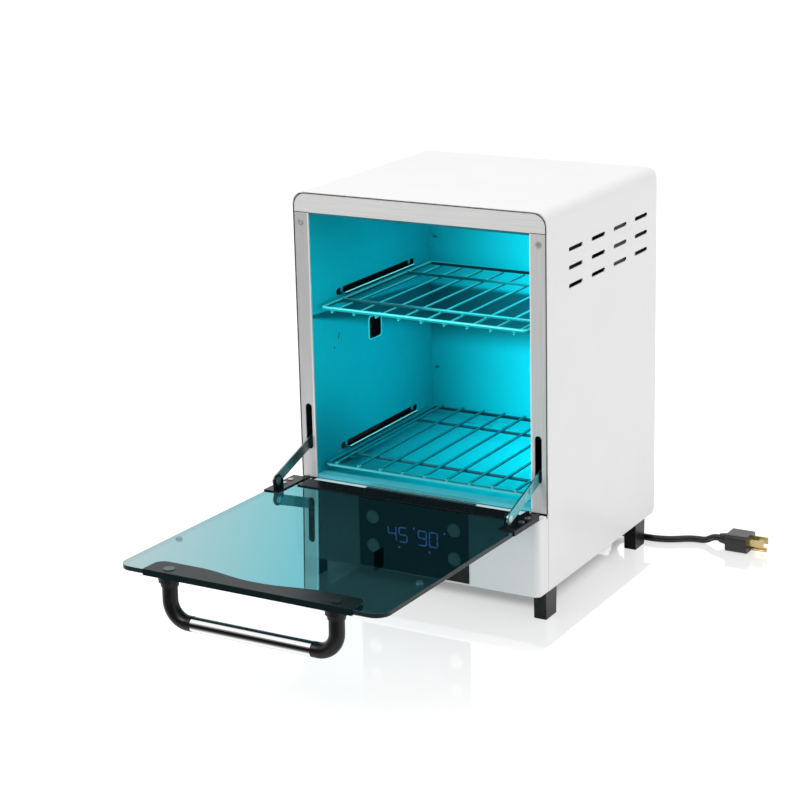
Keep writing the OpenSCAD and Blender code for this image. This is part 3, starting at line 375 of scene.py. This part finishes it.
def tinted_glass(low):
    """Dark reflective glass: the skin mirrors with a painted cyan cast that deepens across the glass, the body
    passes a little tinted light.
    """
    s = Shader("tinted_glass")
    s.tree.nodes.remove(s.surface)
    clear = s.node("ShaderNodeBsdfTransparent")
    mirror = s.node("ShaderNodeBsdfGlossy")
    spot = s.axes(s.place())
    # painted reflection: the mirror's tint runs from pale at its left front corner to cyan across the glass
    along = s.math("MULTIPLY", s.math("SUBTRACT", spot[0], low.x), 5.6)
    across = s.math("MULTIPLY", s.math("SUBTRACT", spot[1], low.y), 3.1)
    cast = s.ramp(s.math("ADD", along, across), 0.0, 1.0, kind="LINEAR")
    s.link(s.colours(cast, (0.80, 0.98, 1.0), (0.29, 0.86, 0.96)), mirror.inputs["Color"])
    s.link(s.spread(s.noise(30, 3), 0.010, 0.022), mirror.inputs["Roughness"])
    geometry = s.node("ShaderNodeNewGeometry")
    facing = s.node("ShaderNodeLayerWeight")
    facing.inputs["Blend"].default_value = 0.5
    share = s.ramp(facing.outputs["Facing"], 0.0, 1.0, 0.22, 0.75, "LINEAR")
    outside = s.math("SUBTRACT", 1.0, geometry.outputs["Backfacing"])
    path = s.node("ShaderNodeLightPath")
    unseen = s.math("MAXIMUM", path.outputs["Is Shadow Ray"], path.outputs["Is Diffuse Ray"])
    s.link(s.colours(unseen, (0.18, 0.32, 0.33), (0.92, 0.94, 0.94)), clear.inputs["Color"])
    face = s.layers(s.math("MULTIPLY", share, outside), clear.outputs[0], mirror.outputs[0])
    # the ground edges are dark and satin
    rim = s.node("ShaderNodeBsdfPrincipled")
    rim.inputs["Base Color"].default_value = (0.012, 0.022, 0.024, 1)
    rim.inputs["Roughness"].default_value = 0.3
    rim.inputs["Specular IOR Level"].default_value = 0.2
    coords = s.node("ShaderNodeTexCoord")
    upright = s.math("ABSOLUTE", s.axes(coords.outputs["Normal"])[2])
    is_rim = s.math("LESS_THAN", upright, 0.9)
    s.link(s.layers(is_rim, face, rim.outputs[0]), s.output.inputs["Surface"])
    return s.material


def silicone():
    """Clear soft rubber: mostly see-through with a small highlight."""
    s = Shader("clear_silicone")
    tone = s.spread(s.noise(300, 2), 0, 1)
    s.put("Base Color", s.colours(tone, (0.10, 0.20, 0.21), (0.14, 0.25, 0.26)))
    s.put("Roughness", 0.15)
    clear = s.node("ShaderNodeBsdfTransparent")
    clear.inputs["Color"].default_value = (0.92, 0.95, 0.95, 1)
    s.link(s.layers(0.16, clear.outputs[0], s.surface.outputs[0]), s.output.inputs["Surface"])
    return s.material


def glowing(name, colour, strength, base=(0.02, 0.02, 0.03)):
    """A lit part: emission with a little unevenness over a dark glossy body; dimmer in mirrors."""
    s = Shader(name)
    s.put("Base Color", base)
    s.put("Roughness", 0.25)
    s.put("Emission Color", colour)
    path = s.node("ShaderNodeLightPath")
    level = s.math("SUBTRACT", 1.0, s.math("MULTIPLY", path.outputs["Is Glossy Ray"], 0.88))
    uneven = s.spread(s.noise(400, 2), strength * 0.85, strength * 1.1)
    s.put("Emission Strength", s.math("MULTIPLY", level, uneven))
    return s.material


def screw_cap():
    """Smoky screw cap with painted light and shade: the left one is painted lighter, as facing the soft light,
    the right one darker, as in shade.
    """
    s = Shader("dark_cap")
    left = s.colours(s.spread(s.noise(300, 2), 0, 1), (0.055, 0.085, 0.088), (0.065, 0.095, 0.098))
    # painted light and shade: the cap on the left is lighter than the one on the right
    is_right = s.math("GREATER_THAN", s.axes(s.place())[0], 0.0)
    s.put("Base Color", s.cover(is_right, (0.006, 0.018, 0.019), left))
    s.put("Roughness", s.spread(s.noise(500, 3), 0.24, 0.30))
    s.put("Specular IOR Level", 0.2)
    s.put("Normal", s.bump(s.noise(2600, 3), 0.04, 0.0002, s.edges(0.3 * MM)))
    return s.material


def button_cap():
    """Pale satin cap with a slightly hollow, darker middle."""
    s = Shader("button_cap")
    tone = s.spread(s.noise(300, 3), 0, 1)
    s.put("Base Color", s.colours(tone, (0.80, 0.82, 0.83), (0.74, 0.76, 0.77)))
    # painted light: a faint glow keeps the pale caps bright
    s.put("Emission Color", (0.8, 0.95, 1.0))
    s.put("Emission Strength", 0.16)
    s.put("Roughness", s.spread(s.noise(500, 3), 0.36, 0.44))
    s.put("Normal", s.bump(s.noise(2600, 3), 0.05, 0.0002, s.edges(0.3 * MM)))
    s.dark_to_mirrors((0.30, 0.31, 0.31))
    return s.material


def lit_rim(name, colour):
    """Turned edge in the cavity with a painted highlight: it glows in its colour as if catching the lamp's
    light.
    """
    s = Shader(name)
    s.put("Base Color", s.colours(s.spread(s.noise(200, 2), 0, 1), colour, tuple(c * 0.9 for c in colour)))
    s.put("Roughness", 0.3)
    s.put("Emission Color", colour)
    s.put("Emission Strength", 0.3)
    s.dark_to_mirrors((0.016, 0.03, 0.033))
    return s.material


def circuit():
    """Green board with a fine pattern."""
    s = Shader("circuit_board")
    s.put("Base Color", s.colours(s.spread(s.noise(700, 1), 0, 1), (0.01, 0.10, 0.04), (0.03, 0.2, 0.08)))
    s.put("Roughness", 0.35)
    s.put("Normal", s.bump(s.noise(900, 1), 0.2, 0.0003))
    return s.material


def mica():
    """Flaky heater sheet."""
    s = Shader("heater_mica")
    s.put("Base Color", s.colours(s.spread(s.noise(120, 5), 0, 1), (0.55, 0.45, 0.33), (0.75, 0.66, 0.52)))
    s.put("Roughness", 0.55)
    s.put("Normal", s.bump(s.noise(300, 4), 0.3, 0.0004))
    return s.material


FLOOR_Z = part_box("feet")[0].z
# painted reflection on the chrome tube, brightness by angle round it: 0.25 is its underside, 0.5 its front and
# 0.75 its top
BANDS = ((0.30, 0.20), (0.368, 0.22), (0.378, 0.90), (0.44, 0.90), (0.475, 0.20), (0.495, 0.01), (0.555, 0.0),
         (0.578, 0.20), (0.605, 0.90), (0.660, 0.90), (0.678, 0.0), (0.80, 0.0))
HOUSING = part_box("outer_housing")
# the cavity side of the sheets, where the painted lamp light goes: a little way into each sheet and on past
# the sill
SKIN = 0.3 * MM
HALF_CAVITY = 113.3 * MM
CAVITY = (Vector((-HALF_CAVITY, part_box("liner_left")[0].y - 10 * MM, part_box("liner_left")[0].z - 30 * MM)),
          Vector((HALF_CAVITY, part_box("liner_back")[0].y + SKIN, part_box("liner_top")[0].z + SKIN)))
CROSS_BARS = (HOUSING[0].y + 49 * MM, HOUSING[0].y + 173 * MM)
FRAME_WIRE = 1.8 * MM  # radius of a rack's outer wire
RACK_PLANE = {"rack_upper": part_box("rack_upper")[1].z - FRAME_WIRE,
              "rack_lower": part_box("rack_lower")[0].z + FRAME_WIRE}
RACK_SHADE_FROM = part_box("rack_upper")[0].z
# the port in the left wall: from and to, behind the front and above the floor
PORT_Y = (102 * MM, 125 * MM)
PORT_Z = (211 * MM, 233 * MM)
# the turned-in tab of a rail slot: how far it reaches from the wall, and where it starts and ends
TAB_REACH = 5 * MM
TAB_Y = (53 * MM, 184 * MM)
UPRIGHT = (900, 900, 12)
ACROSS = (12, 900, 900)
MATERIALS = {
    "white_paint": powder_coat("white_paint", (0.84, 0.84, 0.84), (0.82, 0.82, 0.825), 0.42),
    "housing_paint": powder_coat("housing_paint", (0.84, 0.84, 0.84), (0.82, 0.82, 0.825), 0.42,
                                 (HOUSING[0] + HOUSING[1]) / 2),
    "black_paint": moulded("black_paint", (0.004, 0.005, 0.006), 0.24, 0.015, gloss=0.16),
    "brushed_face": brushed("brushed_face", (0.80, 0.80, 0.795), 0.36, UPRIGHT, 0.3),
    # painted light: the top strip's steel is brushed across and painted paler than the side strips, as if lit
    # more
    "brushed_across_lit": brushed("brushed_across_lit", (0.87, 0.865, 0.86), 0.36, ACROSS, 0.3, 0.2),
    # painted shade: the right strip's steel is a darker copy of the face steel
    "brushed_right_shaded": brushed("brushed_right_shaded", (0.77, 0.77, 0.76), 0.36, UPRIGHT, 0.3, 0.3),
    # painted shade: the lamp's reflector is near-black, so it shows as shade through the side vents
    "reflector_sheet": brushed("reflector_sheet", (0.010, 0.010, 0.011), 0.6, UPRIGHT, 0.2, 0.0),
    # partly painted highlight: the rolled edges are paler than the face steel
    "polished_edge_highlight": brushed("polished_edge_highlight", (0.95, 0.95, 0.94), 0.3, UPRIGHT, 0.1, 0.2),
    "screw_face": brushed("screw_face", (0.50, 0.50, 0.50), 0.4, ACROSS, 0.1, 0.4),
    # painted highlights: the port rim and the rail tab edges glow
    "port_rim": lit_rim("port_rim", (0.04, 0.72, 0.74)),
    "rail_edge": lit_rim("rail_edge", (0.30, 0.95, 0.92)),
    # painted shade: the dark teal of the lip under the top strip
    "lip_shade": moulded("lip_shade", (0.002, 0.16, 0.19), 0.4, 0.02, gloss=0.2),
    # painted light: the sill's steel is coloured cyan by the lamp
    "sill_steel_painted_cyan": brushed("sill_steel_painted_cyan", (0.10, 0.66, 0.76), 0.34, ACROSS, 0.3, 0.2),
    "zinc_sheet": plated("zinc_sheet", (0.55, 0.56, 0.57), 0.4),
    # painted shade: the base plate is darkened so the underside and its reflection read as shade
    "base_zinc_painted_shade": plated("base_zinc_painted_shade", (0.10, 0.10, 0.105), 0.5),
    "zinc_screw": plated("zinc_screw", (0.62, 0.62, 0.62), 0.3),
    "stay_steel": plated("stay_steel", (0.36, 0.42, 0.42), 0.3),
    # painted light: the right stay is a paler cyan copy of the stay steel
    "stay_lit": plated("stay_lit", (0.15, 0.48, 0.54), 0.3),
    # painted lamp light on the racks: the upper rack lit, the lower rack mostly in painted shade with a bright
    # front wire
    "rack_wire": rack_wire("rack_wire", "rack_upper", (0.06, 0.62, 0.64), (0.02, 0.88, 0.94),
                           (0.10, 0.95, 0.98), (0.0, 0.42, 0.46)),
    "rack_wire_low": rack_wire("rack_wire_low", "rack_lower", (0.0, 0.26, 0.32), (0.0, 0.09, 0.12),
                               (0.0, 0.14, 0.18), (0.08, 0.66, 0.70)),
    "brass_pin": plated("brass_pin", (0.80, 0.62, 0.30), 0.2),
    "bright_tube": chrome(),
    # the cavity's sheets, with painted lamp light and, on the back and left walls, a painted rack shadow
    "liner_sheet": cavity_sheet("liner_sheet", *CAVITY),
    "liner_back": cavity_sheet("liner_back", *CAVITY, (RACK_SHADE_FROM, 0.004, 0.001, 0.30, 0.0)),
    "liner_left": cavity_sheet("liner_left", *CAVITY, (RACK_SHADE_FROM, 0.001, 0.004, 0.25, 0.6)),
    "black_plastic": moulded("black_plastic", (0.003, 0.003, 0.0033), 0.30, 0.04),
    "grip_plastic": moulded("grip_plastic", (0.0015, 0.009, 0.010), 0.30, 0.02, gloss=0.14),
    "gloss_fascia": moulded("gloss_fascia", (0.004, 0.004, 0.005), 0.12, 0.01),
    "dark_module": moulded("dark_module", (0.02, 0.02, 0.022), 0.5),
    "dark_cap": screw_cap(),
    "button_cap": button_cap(),
    "white_ceramic": moulded("white_ceramic", (0.8, 0.8, 0.78), 0.25, 0.05),
    "red_wire": moulded("red_wire", (0.35, 0.02, 0.015), 0.4, 0.1),
    "cord_rubber": moulded("cord_rubber", (0.006, 0.006, 0.007), 0.2, 0.04, gloss=0.6),
    "clear_silicone": silicone(),
    "display_light": glowing("display_light", (0.36, 0.34, 1.0), 3.6),
    "lamp_glass": glowing("lamp_glass", (0.05, 0.85, 1.0), 2.0, (0.5, 0.9, 1.0)),
    "tinted_glass": tinted_glass(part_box("glass_panel")[0]),
    "circuit_board": circuit(),
    "heater_mica": mica(),
}


# nodes that look different from the rest of their material slot, several of them as painted lit or shaded
# copies
OWN_LOOK = {
    "outer_housing": "housing_paint", "face_frame_top": "brushed_across_lit",
    "face_frame_right": "brushed_right_shaded", "sill": "sill_steel_painted_cyan", "handle_plate": "grip_plastic",
    "base_plate": "base_zinc_painted_shade", "hinge_pins": "white_paint", "wiring_harness": "cord_rubber",
    "liner_back": "liner_back", "liner_left": "liner_left", "arm_right": "stay_lit",
    "frame_screws": "screw_face",
}
for node, obj in frame["nodes"].items():
    obj.data.materials.clear()
    obj.data.materials.append(MATERIALS[OWN_LOOK.get(node, SLOT_OF[node])])


# ---------------------------------------------------------------- rounded edges on the CAD pieces

def soften(node, width, segments=2, angle=35):
    """Gives a CAD piece real rounded edges, width in millimetres."""
    obj = frame["nodes"][node]
    weld = obj.modifiers.new("weld", "WELD")
    weld.merge_threshold = 0.002 * MM
    bevel = obj.modifiers.new("edges", "BEVEL")
    bevel.width = width * MM
    bevel.segments = segments
    bevel.limit_method = "ANGLE"
    bevel.angle_limit = math.radians(angle)
    bevel.use_clamp_overlap = True
    bevel.harden_normals = False
    bevel.miter_outer = "MITER_ARC"
    even = obj.modifiers.new("normals", "WEIGHTED_NORMAL")
    even.keep_sharp = True


EDGE_WIDTHS = {
    "outer_housing": 0.25, "front_panel": 0.45, "control_fascia": 0.35, "feet": 0.6, "sill": 0.3,
    "glass_panel": 0.6, "hinge_bar": 0.3, "hinge_bracket_left": 0.3, "hinge_bracket_right": 0.3,
    "handle_plate": 0.3, "handle_elbow_left": 0.4, "handle_elbow_right": 0.4,
    "arm_left": 0.2, "arm_right": 0.2, "button_upper_left": 0.25, "button_lower_left": 0.25,
    "button_upper_right": 0.25, "button_lower_right": 0.25, "plug_body": 1.2,
}
for node, width in EDGE_WIDTHS.items():
    soften(node, width)


# ---------------------------------------------------------------- pieces built here

NODE_BODY = {node: body for body, nodes in RECORD["behaviour"]["bodies"].items() for node in nodes}


def make(name, build, material, like, smooth=40):
    """A new piece from a bmesh builder, painted and smoothed below an angle.

    It rides on the body of the CAD node that like names, and is painted with the given material."""
    mesh = bpy.data.meshes.new(name)
    shape = bmesh.new()
    build(shape)
    bmesh.ops.recalc_face_normals(shape, faces=shape.faces)
    shape.to_mesh(mesh)
    shape.free()
    obj = bpy.data.objects.new(name, mesh)
    bpy.context.scene.collection.objects.link(obj)
    mesh.materials.append(MATERIALS[material])
    for face in mesh.polygons:
        face.use_smooth = True
    mesh.set_sharp_from_angle(angle=math.radians(smooth))
    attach(obj, NODE_BODY[like])
    return obj


def ring_at(centre, ahead, radius, sides, turn=Vector((0, 0, 1))):
    """Points of a circle round a direction of travel."""
    side = ahead.cross(turn)
    if side.length < 1e-6:
        side = ahead.cross(Vector((0, 1, 0)))
    side.normalize()
    over = side.cross(ahead).normalized()
    angles = [2 * math.pi * k / sides for k in range(sides)]
    return [centre + radius * (math.cos(a) * side + math.sin(a) * over) for a in angles]


def sweep(shape, path, radius, sides=16, closed=False, dome=True):
    """Adds a round wire along a path of points; open ends are domed."""
    count = len(path)
    rings = []

    def add(centre, ahead, size):
        rings.append([shape.verts.new(p) for p in ring_at(centre, ahead, size, sides)])

    for i, point in enumerate(path):
        before = path[i - 1] if (i or closed) else point
        after = path[(i + 1) % count] if (i < count - 1 or closed) else point
        ahead = (after - before).normalized()
        if dome and not closed and i == 0:
            for share in (0.5, 0.87):
                add(point + ahead * radius * (1 - share) * 0.8, ahead, radius * share)
            add(point + ahead * radius * 0.8, ahead, radius)
        elif dome and not closed and i == count - 1:
            add(point - ahead * radius * 0.8, ahead, radius)
            for share in (0.87, 0.5):
                add(point - ahead * radius * (1 - share) * 0.8, ahead, radius * share)
        else:
            add(point, ahead, radius)
    pairs = list(zip(rings, rings[1:] + rings[:1] if closed else rings[1:]))
    for first, second in pairs:
        for k in range(sides):
            shape.faces.new((first[k], first[(k + 1) % sides], second[(k + 1) % sides], second[k]))
    if not closed:
        shape.faces.new(list(reversed(rings[0])))
        shape.faces.new(rings[-1])


def bead(shape, centre, radius, squash=(1, 1, 1)):
    """A small flattened ball of weld metal."""
    made = bmesh.ops.create_icosphere(shape, subdivisions=2, radius=radius)
    for vert in made["verts"]:
        vert.co = Vector(a * b for a, b in zip(vert.co, squash)) + centre


def build_rack(node, side, material):
    """A welded wire rack in the CAD rack's box: round frame wire, cross bars, and nine thin wires."""
    low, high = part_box(node)
    frame_r, cross_r, thin_r, bend_r, sink = FRAME_WIRE, 1.5 * MM, 1.3 * MM, 4 * MM, 0.5 * MM
    z = RACK_PLANE[node]
    wire_z = z + side * (frame_r + thin_r - sink)
    x0, x1, y0, y1 = low.x + frame_r, high.x - frame_r, low.y + frame_r, high.y - frame_r

    def build(shape):
        corners = [(x1 - bend_r, y0 + bend_r, -90), (x1 - bend_r, y1 - bend_r, 0),
                   (x0 + bend_r, y1 - bend_r, 90), (x0 + bend_r, y0 + bend_r, 180)]
        loop = []
        for x, y, start in corners:
            for k in range(7):
                a = math.radians(start + 15 * k)
                loop.append(Vector((x + bend_r * math.cos(a), y + bend_r * math.sin(a), z)))
        sweep(shape, loop, frame_r, 20, closed=True)
        for y in CROSS_BARS:
            sweep(shape, [Vector((x0, y, z)), Vector((x1, y, z))], cross_r, 16, dome=False)
            for x in (x0, x1):
                bead(shape, Vector((x, y, z)), 2.0 * MM, (0.85, 1.3, 0.85))
        middle = (x0 + x1) / 2
        for i in range(-4, 5):
            x = middle + i * 23.7 * MM
            ends = [Vector((x, y, wire_z)) for y in (low.y + 0.3 * MM, high.y - 0.3 * MM)]
            sweep(shape, ends, thin_r, 16)
            for y in (y0, *CROSS_BARS, y1):
                bead(shape, Vector((x, y, z + side * frame_r * 0.8)), 1.6 * MM, (1.3, 1.1, 0.55))

    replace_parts(make(node + "_wires", build, material, node, smooth=60), node)


build_rack("rack_upper", -1, "rack_wire")
build_rack("rack_lower", 1, "rack_wire_low")


def hem(shape, low, high, radius):
    """A rounded bar filling a box, its long edges rolled over."""
    made = bmesh.ops.create_cube(shape, size=1.0)
    for vert in made["verts"]:
        vert.co = Vector(l + (c + 0.5) * (h - l) for c, l, h in zip(vert.co, low, high))
    bmesh.ops.bevel(shape, geom=shape.edges[:], offset=radius, segments=3, profile=0.5, affect="EDGES")


def folded_edge(side):
    """The rolled inner edge of a side strip of the steel face, painted paler than the face as a highlight."""
    node = "face_frame_" + side
    low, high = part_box(node)
    width = 1.5 * MM
    left = high.x - width if side == "left" else low.x
    start = (left, low.y - 0.45 * MM, low.z + 0.4 * MM)
    end = (left + width if side == "right" else high.x, low.y + 0.3 * MM, high.z - 0.2 * MM)
    make("face_edge_" + side, lambda shape: hem(shape, start, end, 0.35 * MM), "polished_edge_highlight", node)


folded_edge("left")
folded_edge("right")


def port_rim():
    """The turned rim of the port in the left wall."""
    y0, y1 = (HOUSING[0].y + y for y in PORT_Y)
    z0, z1 = (FLOOR_Z + z for z in PORT_Z)
    x = CAVITY[0].x + SKIN
    radius, wide = 3 * MM, 0.8 * MM

    def build(shape):
        loops = []
        for grow, out in ((0, 0), (0, 0.9), (wide, 0.9), (wide + 0.4 * MM, 0)):
            points = []
            for cy, cz, start in ((y1, z1, 0), (y0, z1, 90), (y0, z0, 180), (y1, z0, 270)):
                my = cy - radius if start in (0, 270) else cy + radius
                mz = cz - radius if start in (0, 90) else cz + radius
                for k in range(6):
                    a = math.radians(start + 18 * k)
                    points.append(Vector((x + out * MM, my + (radius + grow) * math.cos(a),
                                          mz + (radius + grow) * math.sin(a))))
            loops.append([shape.verts.new(p) for p in points])
        count = len(loops[0])
        for first, second in zip(loops, loops[1:] + loops[:1]):
            for k in range(count):
                shape.faces.new((first[k], first[(k + 1) % count], second[(k + 1) % count], second[k]))

    make("wall_port_rim", build, "port_rim", "liner_left")


port_rim()


def rail_tab(node):
    """The turned-in tab of a rail slot in the left wall: a glowing free edge as a painted highlight, over and
    under dark strips of painted shade.
    """
    z = RACK_PLANE[node]
    wall, front = CAVITY[0].x + SKIN, HOUSING[0].y
    lip = wall + TAB_REACH

    def strip(part, x, height, material):
        start = (x[0], front + TAB_Y[0], z + height[0] * MM)
        end = (x[1], front + TAB_Y[1], z + height[1] * MM)
        name = node.replace("rack", "rail_" + part)
        make(name, lambda shape: hem(shape, start, end, 0.08 * MM), material, "liner_left")

    # painted shade: a dark strip on top of the tab
    strip("shade", (wall, lip), (6.42, 6.62), "cord_rubber")
    # painted highlight: the glowing free edge
    strip("edge", (lip - 0.2 * MM, lip + 0.35 * MM), (5.65, 6.65), "rail_edge")
    # painted shadow: a dark strip under the free edge
    strip("under", (lip - 0.8 * MM, lip + 0.1 * MM), (4.0, 5.55), "cord_rubber")


def face_gap():
    """The dark joint between the wrap sheet and the steel face."""
    low, high = HOUSING
    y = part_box("face_frame_top")[0].y - 0.05 * MM
    radius, inset = 13 * MM, 1.1 * MM
    left, right, top = low.x + inset, high.x - inset, high.z - inset
    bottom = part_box("face_frame_left")[0].z
    path = [Vector((left, y, bottom))]
    for cx, start in ((left + radius, 180), (right - radius, 90)):
        for k in range(9):
            a = math.radians(start - 11.25 * k)
            path.append(Vector((cx + radius * math.cos(a), y, top - radius + radius * math.sin(a))))
    path.append(Vector((right, y, bottom)))
    make("face_gap", lambda shape: sweep(shape, path, 0.45 * MM, 8), "cord_rubber", "outer_housing")


def top_lip():
    """The turned-down rear edge of the top strip, painted dark teal as the shade beneath the strip."""
    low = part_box("face_frame_top")[0]
    left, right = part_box("face_frame_left")[1].x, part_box("face_frame_right")[0].x
    start = (left + 0.1 * MM, low.y + 0.3 * MM, low.z - 2.2 * MM)
    end = (right - 0.1 * MM, low.y + 1.1 * MM, low.z + 0.3 * MM)
    make("face_lip_top", lambda shape: hem(shape, start, end, 0.2 * MM), "lip_shade", "face_frame_top")


def seam(side):
    """The dark joint between the top strip and a side strip."""
    node = "face_frame_" + side
    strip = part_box(node)
    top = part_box("face_frame_top")[0]
    start = (strip[0].x + 0.2 * MM, top.y - 0.12 * MM, top.z - 0.35 * MM)
    end = (strip[1].x, top.y + 0.3 * MM, top.z + 0.25 * MM)
    make("face_seam_" + side, lambda shape: hem(shape, start, end, 0.1 * MM), "cord_rubber", node)


rail_tab("rack_upper")
rail_tab("rack_lower")
face_gap()
top_lip()
seam("left")
seam("right")


def round_cord():
    """Smooths the facets of the mains cord."""
    cord = frame["nodes"]["power_cord"]
    weld = cord.modifiers.new("weld", "WELD")
    weld.merge_threshold = 0.01 * MM
    rounder = cord.modifiers.new("round", "SUBSURF")
    rounder.levels = 1
    rounder.render_levels = 1
    for face in cord.data.polygons:
        face.use_smooth = True


round_cord()


# ---------------------------------------------------------------- stage, light and camera

def floor():
    """Glossy white sweep: bright to the camera, with faint reflections and a painted contact shadow."""
    mesh = bpy.data.meshes.new("floor")
    far = 6.0
    corners = [(-far, -far, FLOOR_Z), (far, -far, FLOOR_Z), (far, far, FLOOR_Z), (-far, far, FLOOR_Z)]
    mesh.from_pydata(corners, [], [(0, 1, 2, 3)])
    obj = bpy.data.objects.new("floor", mesh)
    bpy.context.scene.collection.objects.link(obj)
    s = Shader("pale_floor")
    path = s.node("ShaderNodeLightPath")
    y = s.axes(s.place())[1]
    plain = s.colours(s.ramp(y, -0.62, -0.48), (0.10, 0.10, 0.10), (0.78, 0.78, 0.78))
    mirrored = s.colours(path.outputs["Is Glossy Ray"], (0.66, 0.66, 0.66), plain)
    s.put("Base Color", s.colours(path.outputs["Is Camera Ray"], mirrored, (0.22, 0.22, 0.22)))
    s.put("Roughness", s.spread(s.noise(3, 2), 0.9, 1.0))
    s.put("Specular IOR Level", 0.0)
    shine = s.node("ShaderNodeBsdfGlossy")
    shine.inputs["Roughness"].default_value = 0.02
    fade = s.ramp(y, -0.37, -0.12)
    s.link(s.colours(fade, (0.03, 0.03, 0.03), (0.38, 0.38, 0.38)), shine.inputs["Color"])
    glow = s.node("ShaderNodeEmission")
    middle = (HOUSING[0] + HOUSING[1]) / 2
    half = (HOUSING[1] - HOUSING[0]) / 2
    offset = s.vector("ABSOLUTE", s.vector("SUBTRACT", s.place(), (middle.x, middle.y, 0.0)))
    over = s.axes(s.vector("SUBTRACT", offset, (half.x, half.y, 0.0)))
    # painted contact shadow: the floor's glow drops to 0.44 inside the cabinet's footprint and is lower near
    # the cabinet
    open_air = s.ramp(s.math("MAXIMUM", over[0], over[1]), -0.034, -0.010, 0.44)
    level = s.math("MULTIPLY_ADD", fade, -0.15, 0.80)
    lit = s.math("MULTIPLY", open_air, level)
    s.link(s.math("MULTIPLY", path.outputs["Is Camera Ray"], lit), glow.inputs["Strength"])
    first = s.node("ShaderNodeAddShader")
    second = s.node("ShaderNodeAddShader")
    s.link(s.surface.outputs[0], first.inputs[0])
    s.link(shine.outputs[0], first.inputs[1])
    s.link(first.outputs[0], second.inputs[0])
    s.link(glow.outputs[0], second.inputs[1])
    s.link(second.outputs[0], s.output.inputs["Surface"])
    obj.data.materials.append(s.material)


def softbox(name, place, aim, size, power, colour):
    """A large soft area light."""
    data = bpy.data.lights.new(name, "AREA")
    data.shape = "RECTANGLE"
    data.size, data.size_y = size
    data.energy = power
    data.color = colour
    obj = bpy.data.objects.new(name, data)
    obj.location = place
    obj.rotation_euler = (Vector(aim) - Vector(place)).to_track_quat("-Z", "Y").to_euler()
    bpy.context.scene.collection.objects.link(obj)


def lamp_glow():
    """Three small cyan lights in front of the lamp, from its lower to its upper end."""
    low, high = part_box("uv_lamp")
    for share in (0.12, 0.5, 0.88):
        data = bpy.data.lights.new("lamp_glow", "POINT")
        data.energy = 0.13
        data.color = (0.02, 0.90, 1.0)
        data.shadow_soft_size = 8 * MM
        bulb = bpy.data.objects.new("lamp_glow", data)
        bulb.location = (CAVITY[1].x - 10 * MM, (low.y + high.y) / 2, low.z + share * (high.z - low.z))
        bpy.context.scene.collection.objects.link(bulb)


def backdrop():
    """White to the camera; a white room, dimmer in front and low down, to everything else."""
    world = bpy.data.worlds.new("studio")
    bpy.context.scene.world = world
    world.use_nodes = True
    tree = world.node_tree
    tree.nodes.clear()

    def node(kind, **settings):
        made = tree.nodes.new(kind)
        for key, value in settings.items():
            setattr(made, key, value)
        return made

    def ramp(value, start, end, low, high):
        made = node("ShaderNodeMapRange", interpolation_type="SMOOTHSTEP")
        for name, number in (("From Min", start), ("From Max", end), ("To Min", low), ("To Max", high)):
            made.inputs[name].default_value = number
        tree.links.new(value, made.inputs["Value"])
        return made.outputs["Result"]

    coords = node("ShaderNodeTexCoord")
    parts = node("ShaderNodeSeparateXYZ")
    tree.links.new(coords.outputs["Generated"], parts.inputs[0])
    path = node("ShaderNodeLightPath")
    dim = ramp(path.outputs["Is Glossy Ray"], 0.0, 1.0, 0.45, 0.04)
    front = node("ShaderNodeMapRange", interpolation_type="SMOOTHSTEP")
    for name, number in (("From Min", -0.78), ("From Max", -0.35), ("To Max", 1.0)):
        front.inputs[name].default_value = number
    tree.links.new(dim, front.inputs["To Min"])
    tree.links.new(parts.outputs[1], front.inputs["Value"])
    high = ramp(parts.outputs[2], 0.45, 0.75, 0.0, 1.0)
    room = node("ShaderNodeMath", operation="MAXIMUM")
    tree.links.new(front.outputs["Result"], room.inputs[0])
    tree.links.new(high, room.inputs[1])
    shades = []
    for strength in (room.outputs[0], 1.0):
        shade = node("ShaderNodeBackground")
        shade.inputs["Color"].default_value = (1, 1, 1, 1)
        if isinstance(strength, float):
            shade.inputs["Strength"].default_value = strength
        else:
            tree.links.new(strength, shade.inputs["Strength"])
        shades.append(shade.outputs[0])
    out = node("ShaderNodeOutputWorld")
    mix = node("ShaderNodeMixShader")
    tree.links.new(path.outputs["Is Camera Ray"], mix.inputs["Fac"])
    tree.links.new(shades[0], mix.inputs[1])
    tree.links.new(shades[1], mix.inputs[2])
    tree.links.new(mix.outputs[0], out.inputs["Surface"])


def camera():
    """Placed by the fitted view: a long lens, 29 degrees to the right and 15 above."""
    azimuth, elevation, roll = math.radians(29.10), math.radians(15.41), -0.0195
    data = bpy.data.cameras.new("camera")
    data.lens = 95.49
    data.shift_x = -0.0476
    data.shift_y = -0.0488
    data.clip_end = 50
    ahead = Vector((-math.sin(azimuth) * math.cos(elevation),
                    math.cos(azimuth) * math.cos(elevation), -math.sin(elevation)))
    right = Vector((math.cos(azimuth), math.sin(azimuth), 0))
    up = right.cross(ahead)
    turned_right = math.cos(roll) * right + math.sin(roll) * up
    turned_up = -math.sin(roll) * right + math.cos(roll) * up
    turn = Matrix((turned_right, turned_up, -ahead)).transposed().to_4x4()
    obj = bpy.data.objects.new("camera", data)
    obj.matrix_world = Matrix.Translation((0.91798, -1.73317, FLOOR_Z + 0.73914)) @ turn
    bpy.context.scene.collection.objects.link(obj)
    bpy.context.scene.camera = obj


floor()
backdrop()
softbox("key", (-0.9, -2.4, 1.9), (0, 0, 0.2), (1.4, 1.0), 35, (1.0, 0.95, 0.945))
lamp_glow()
camera()
bpy.context.scene.view_settings.view_transform = "Standard"
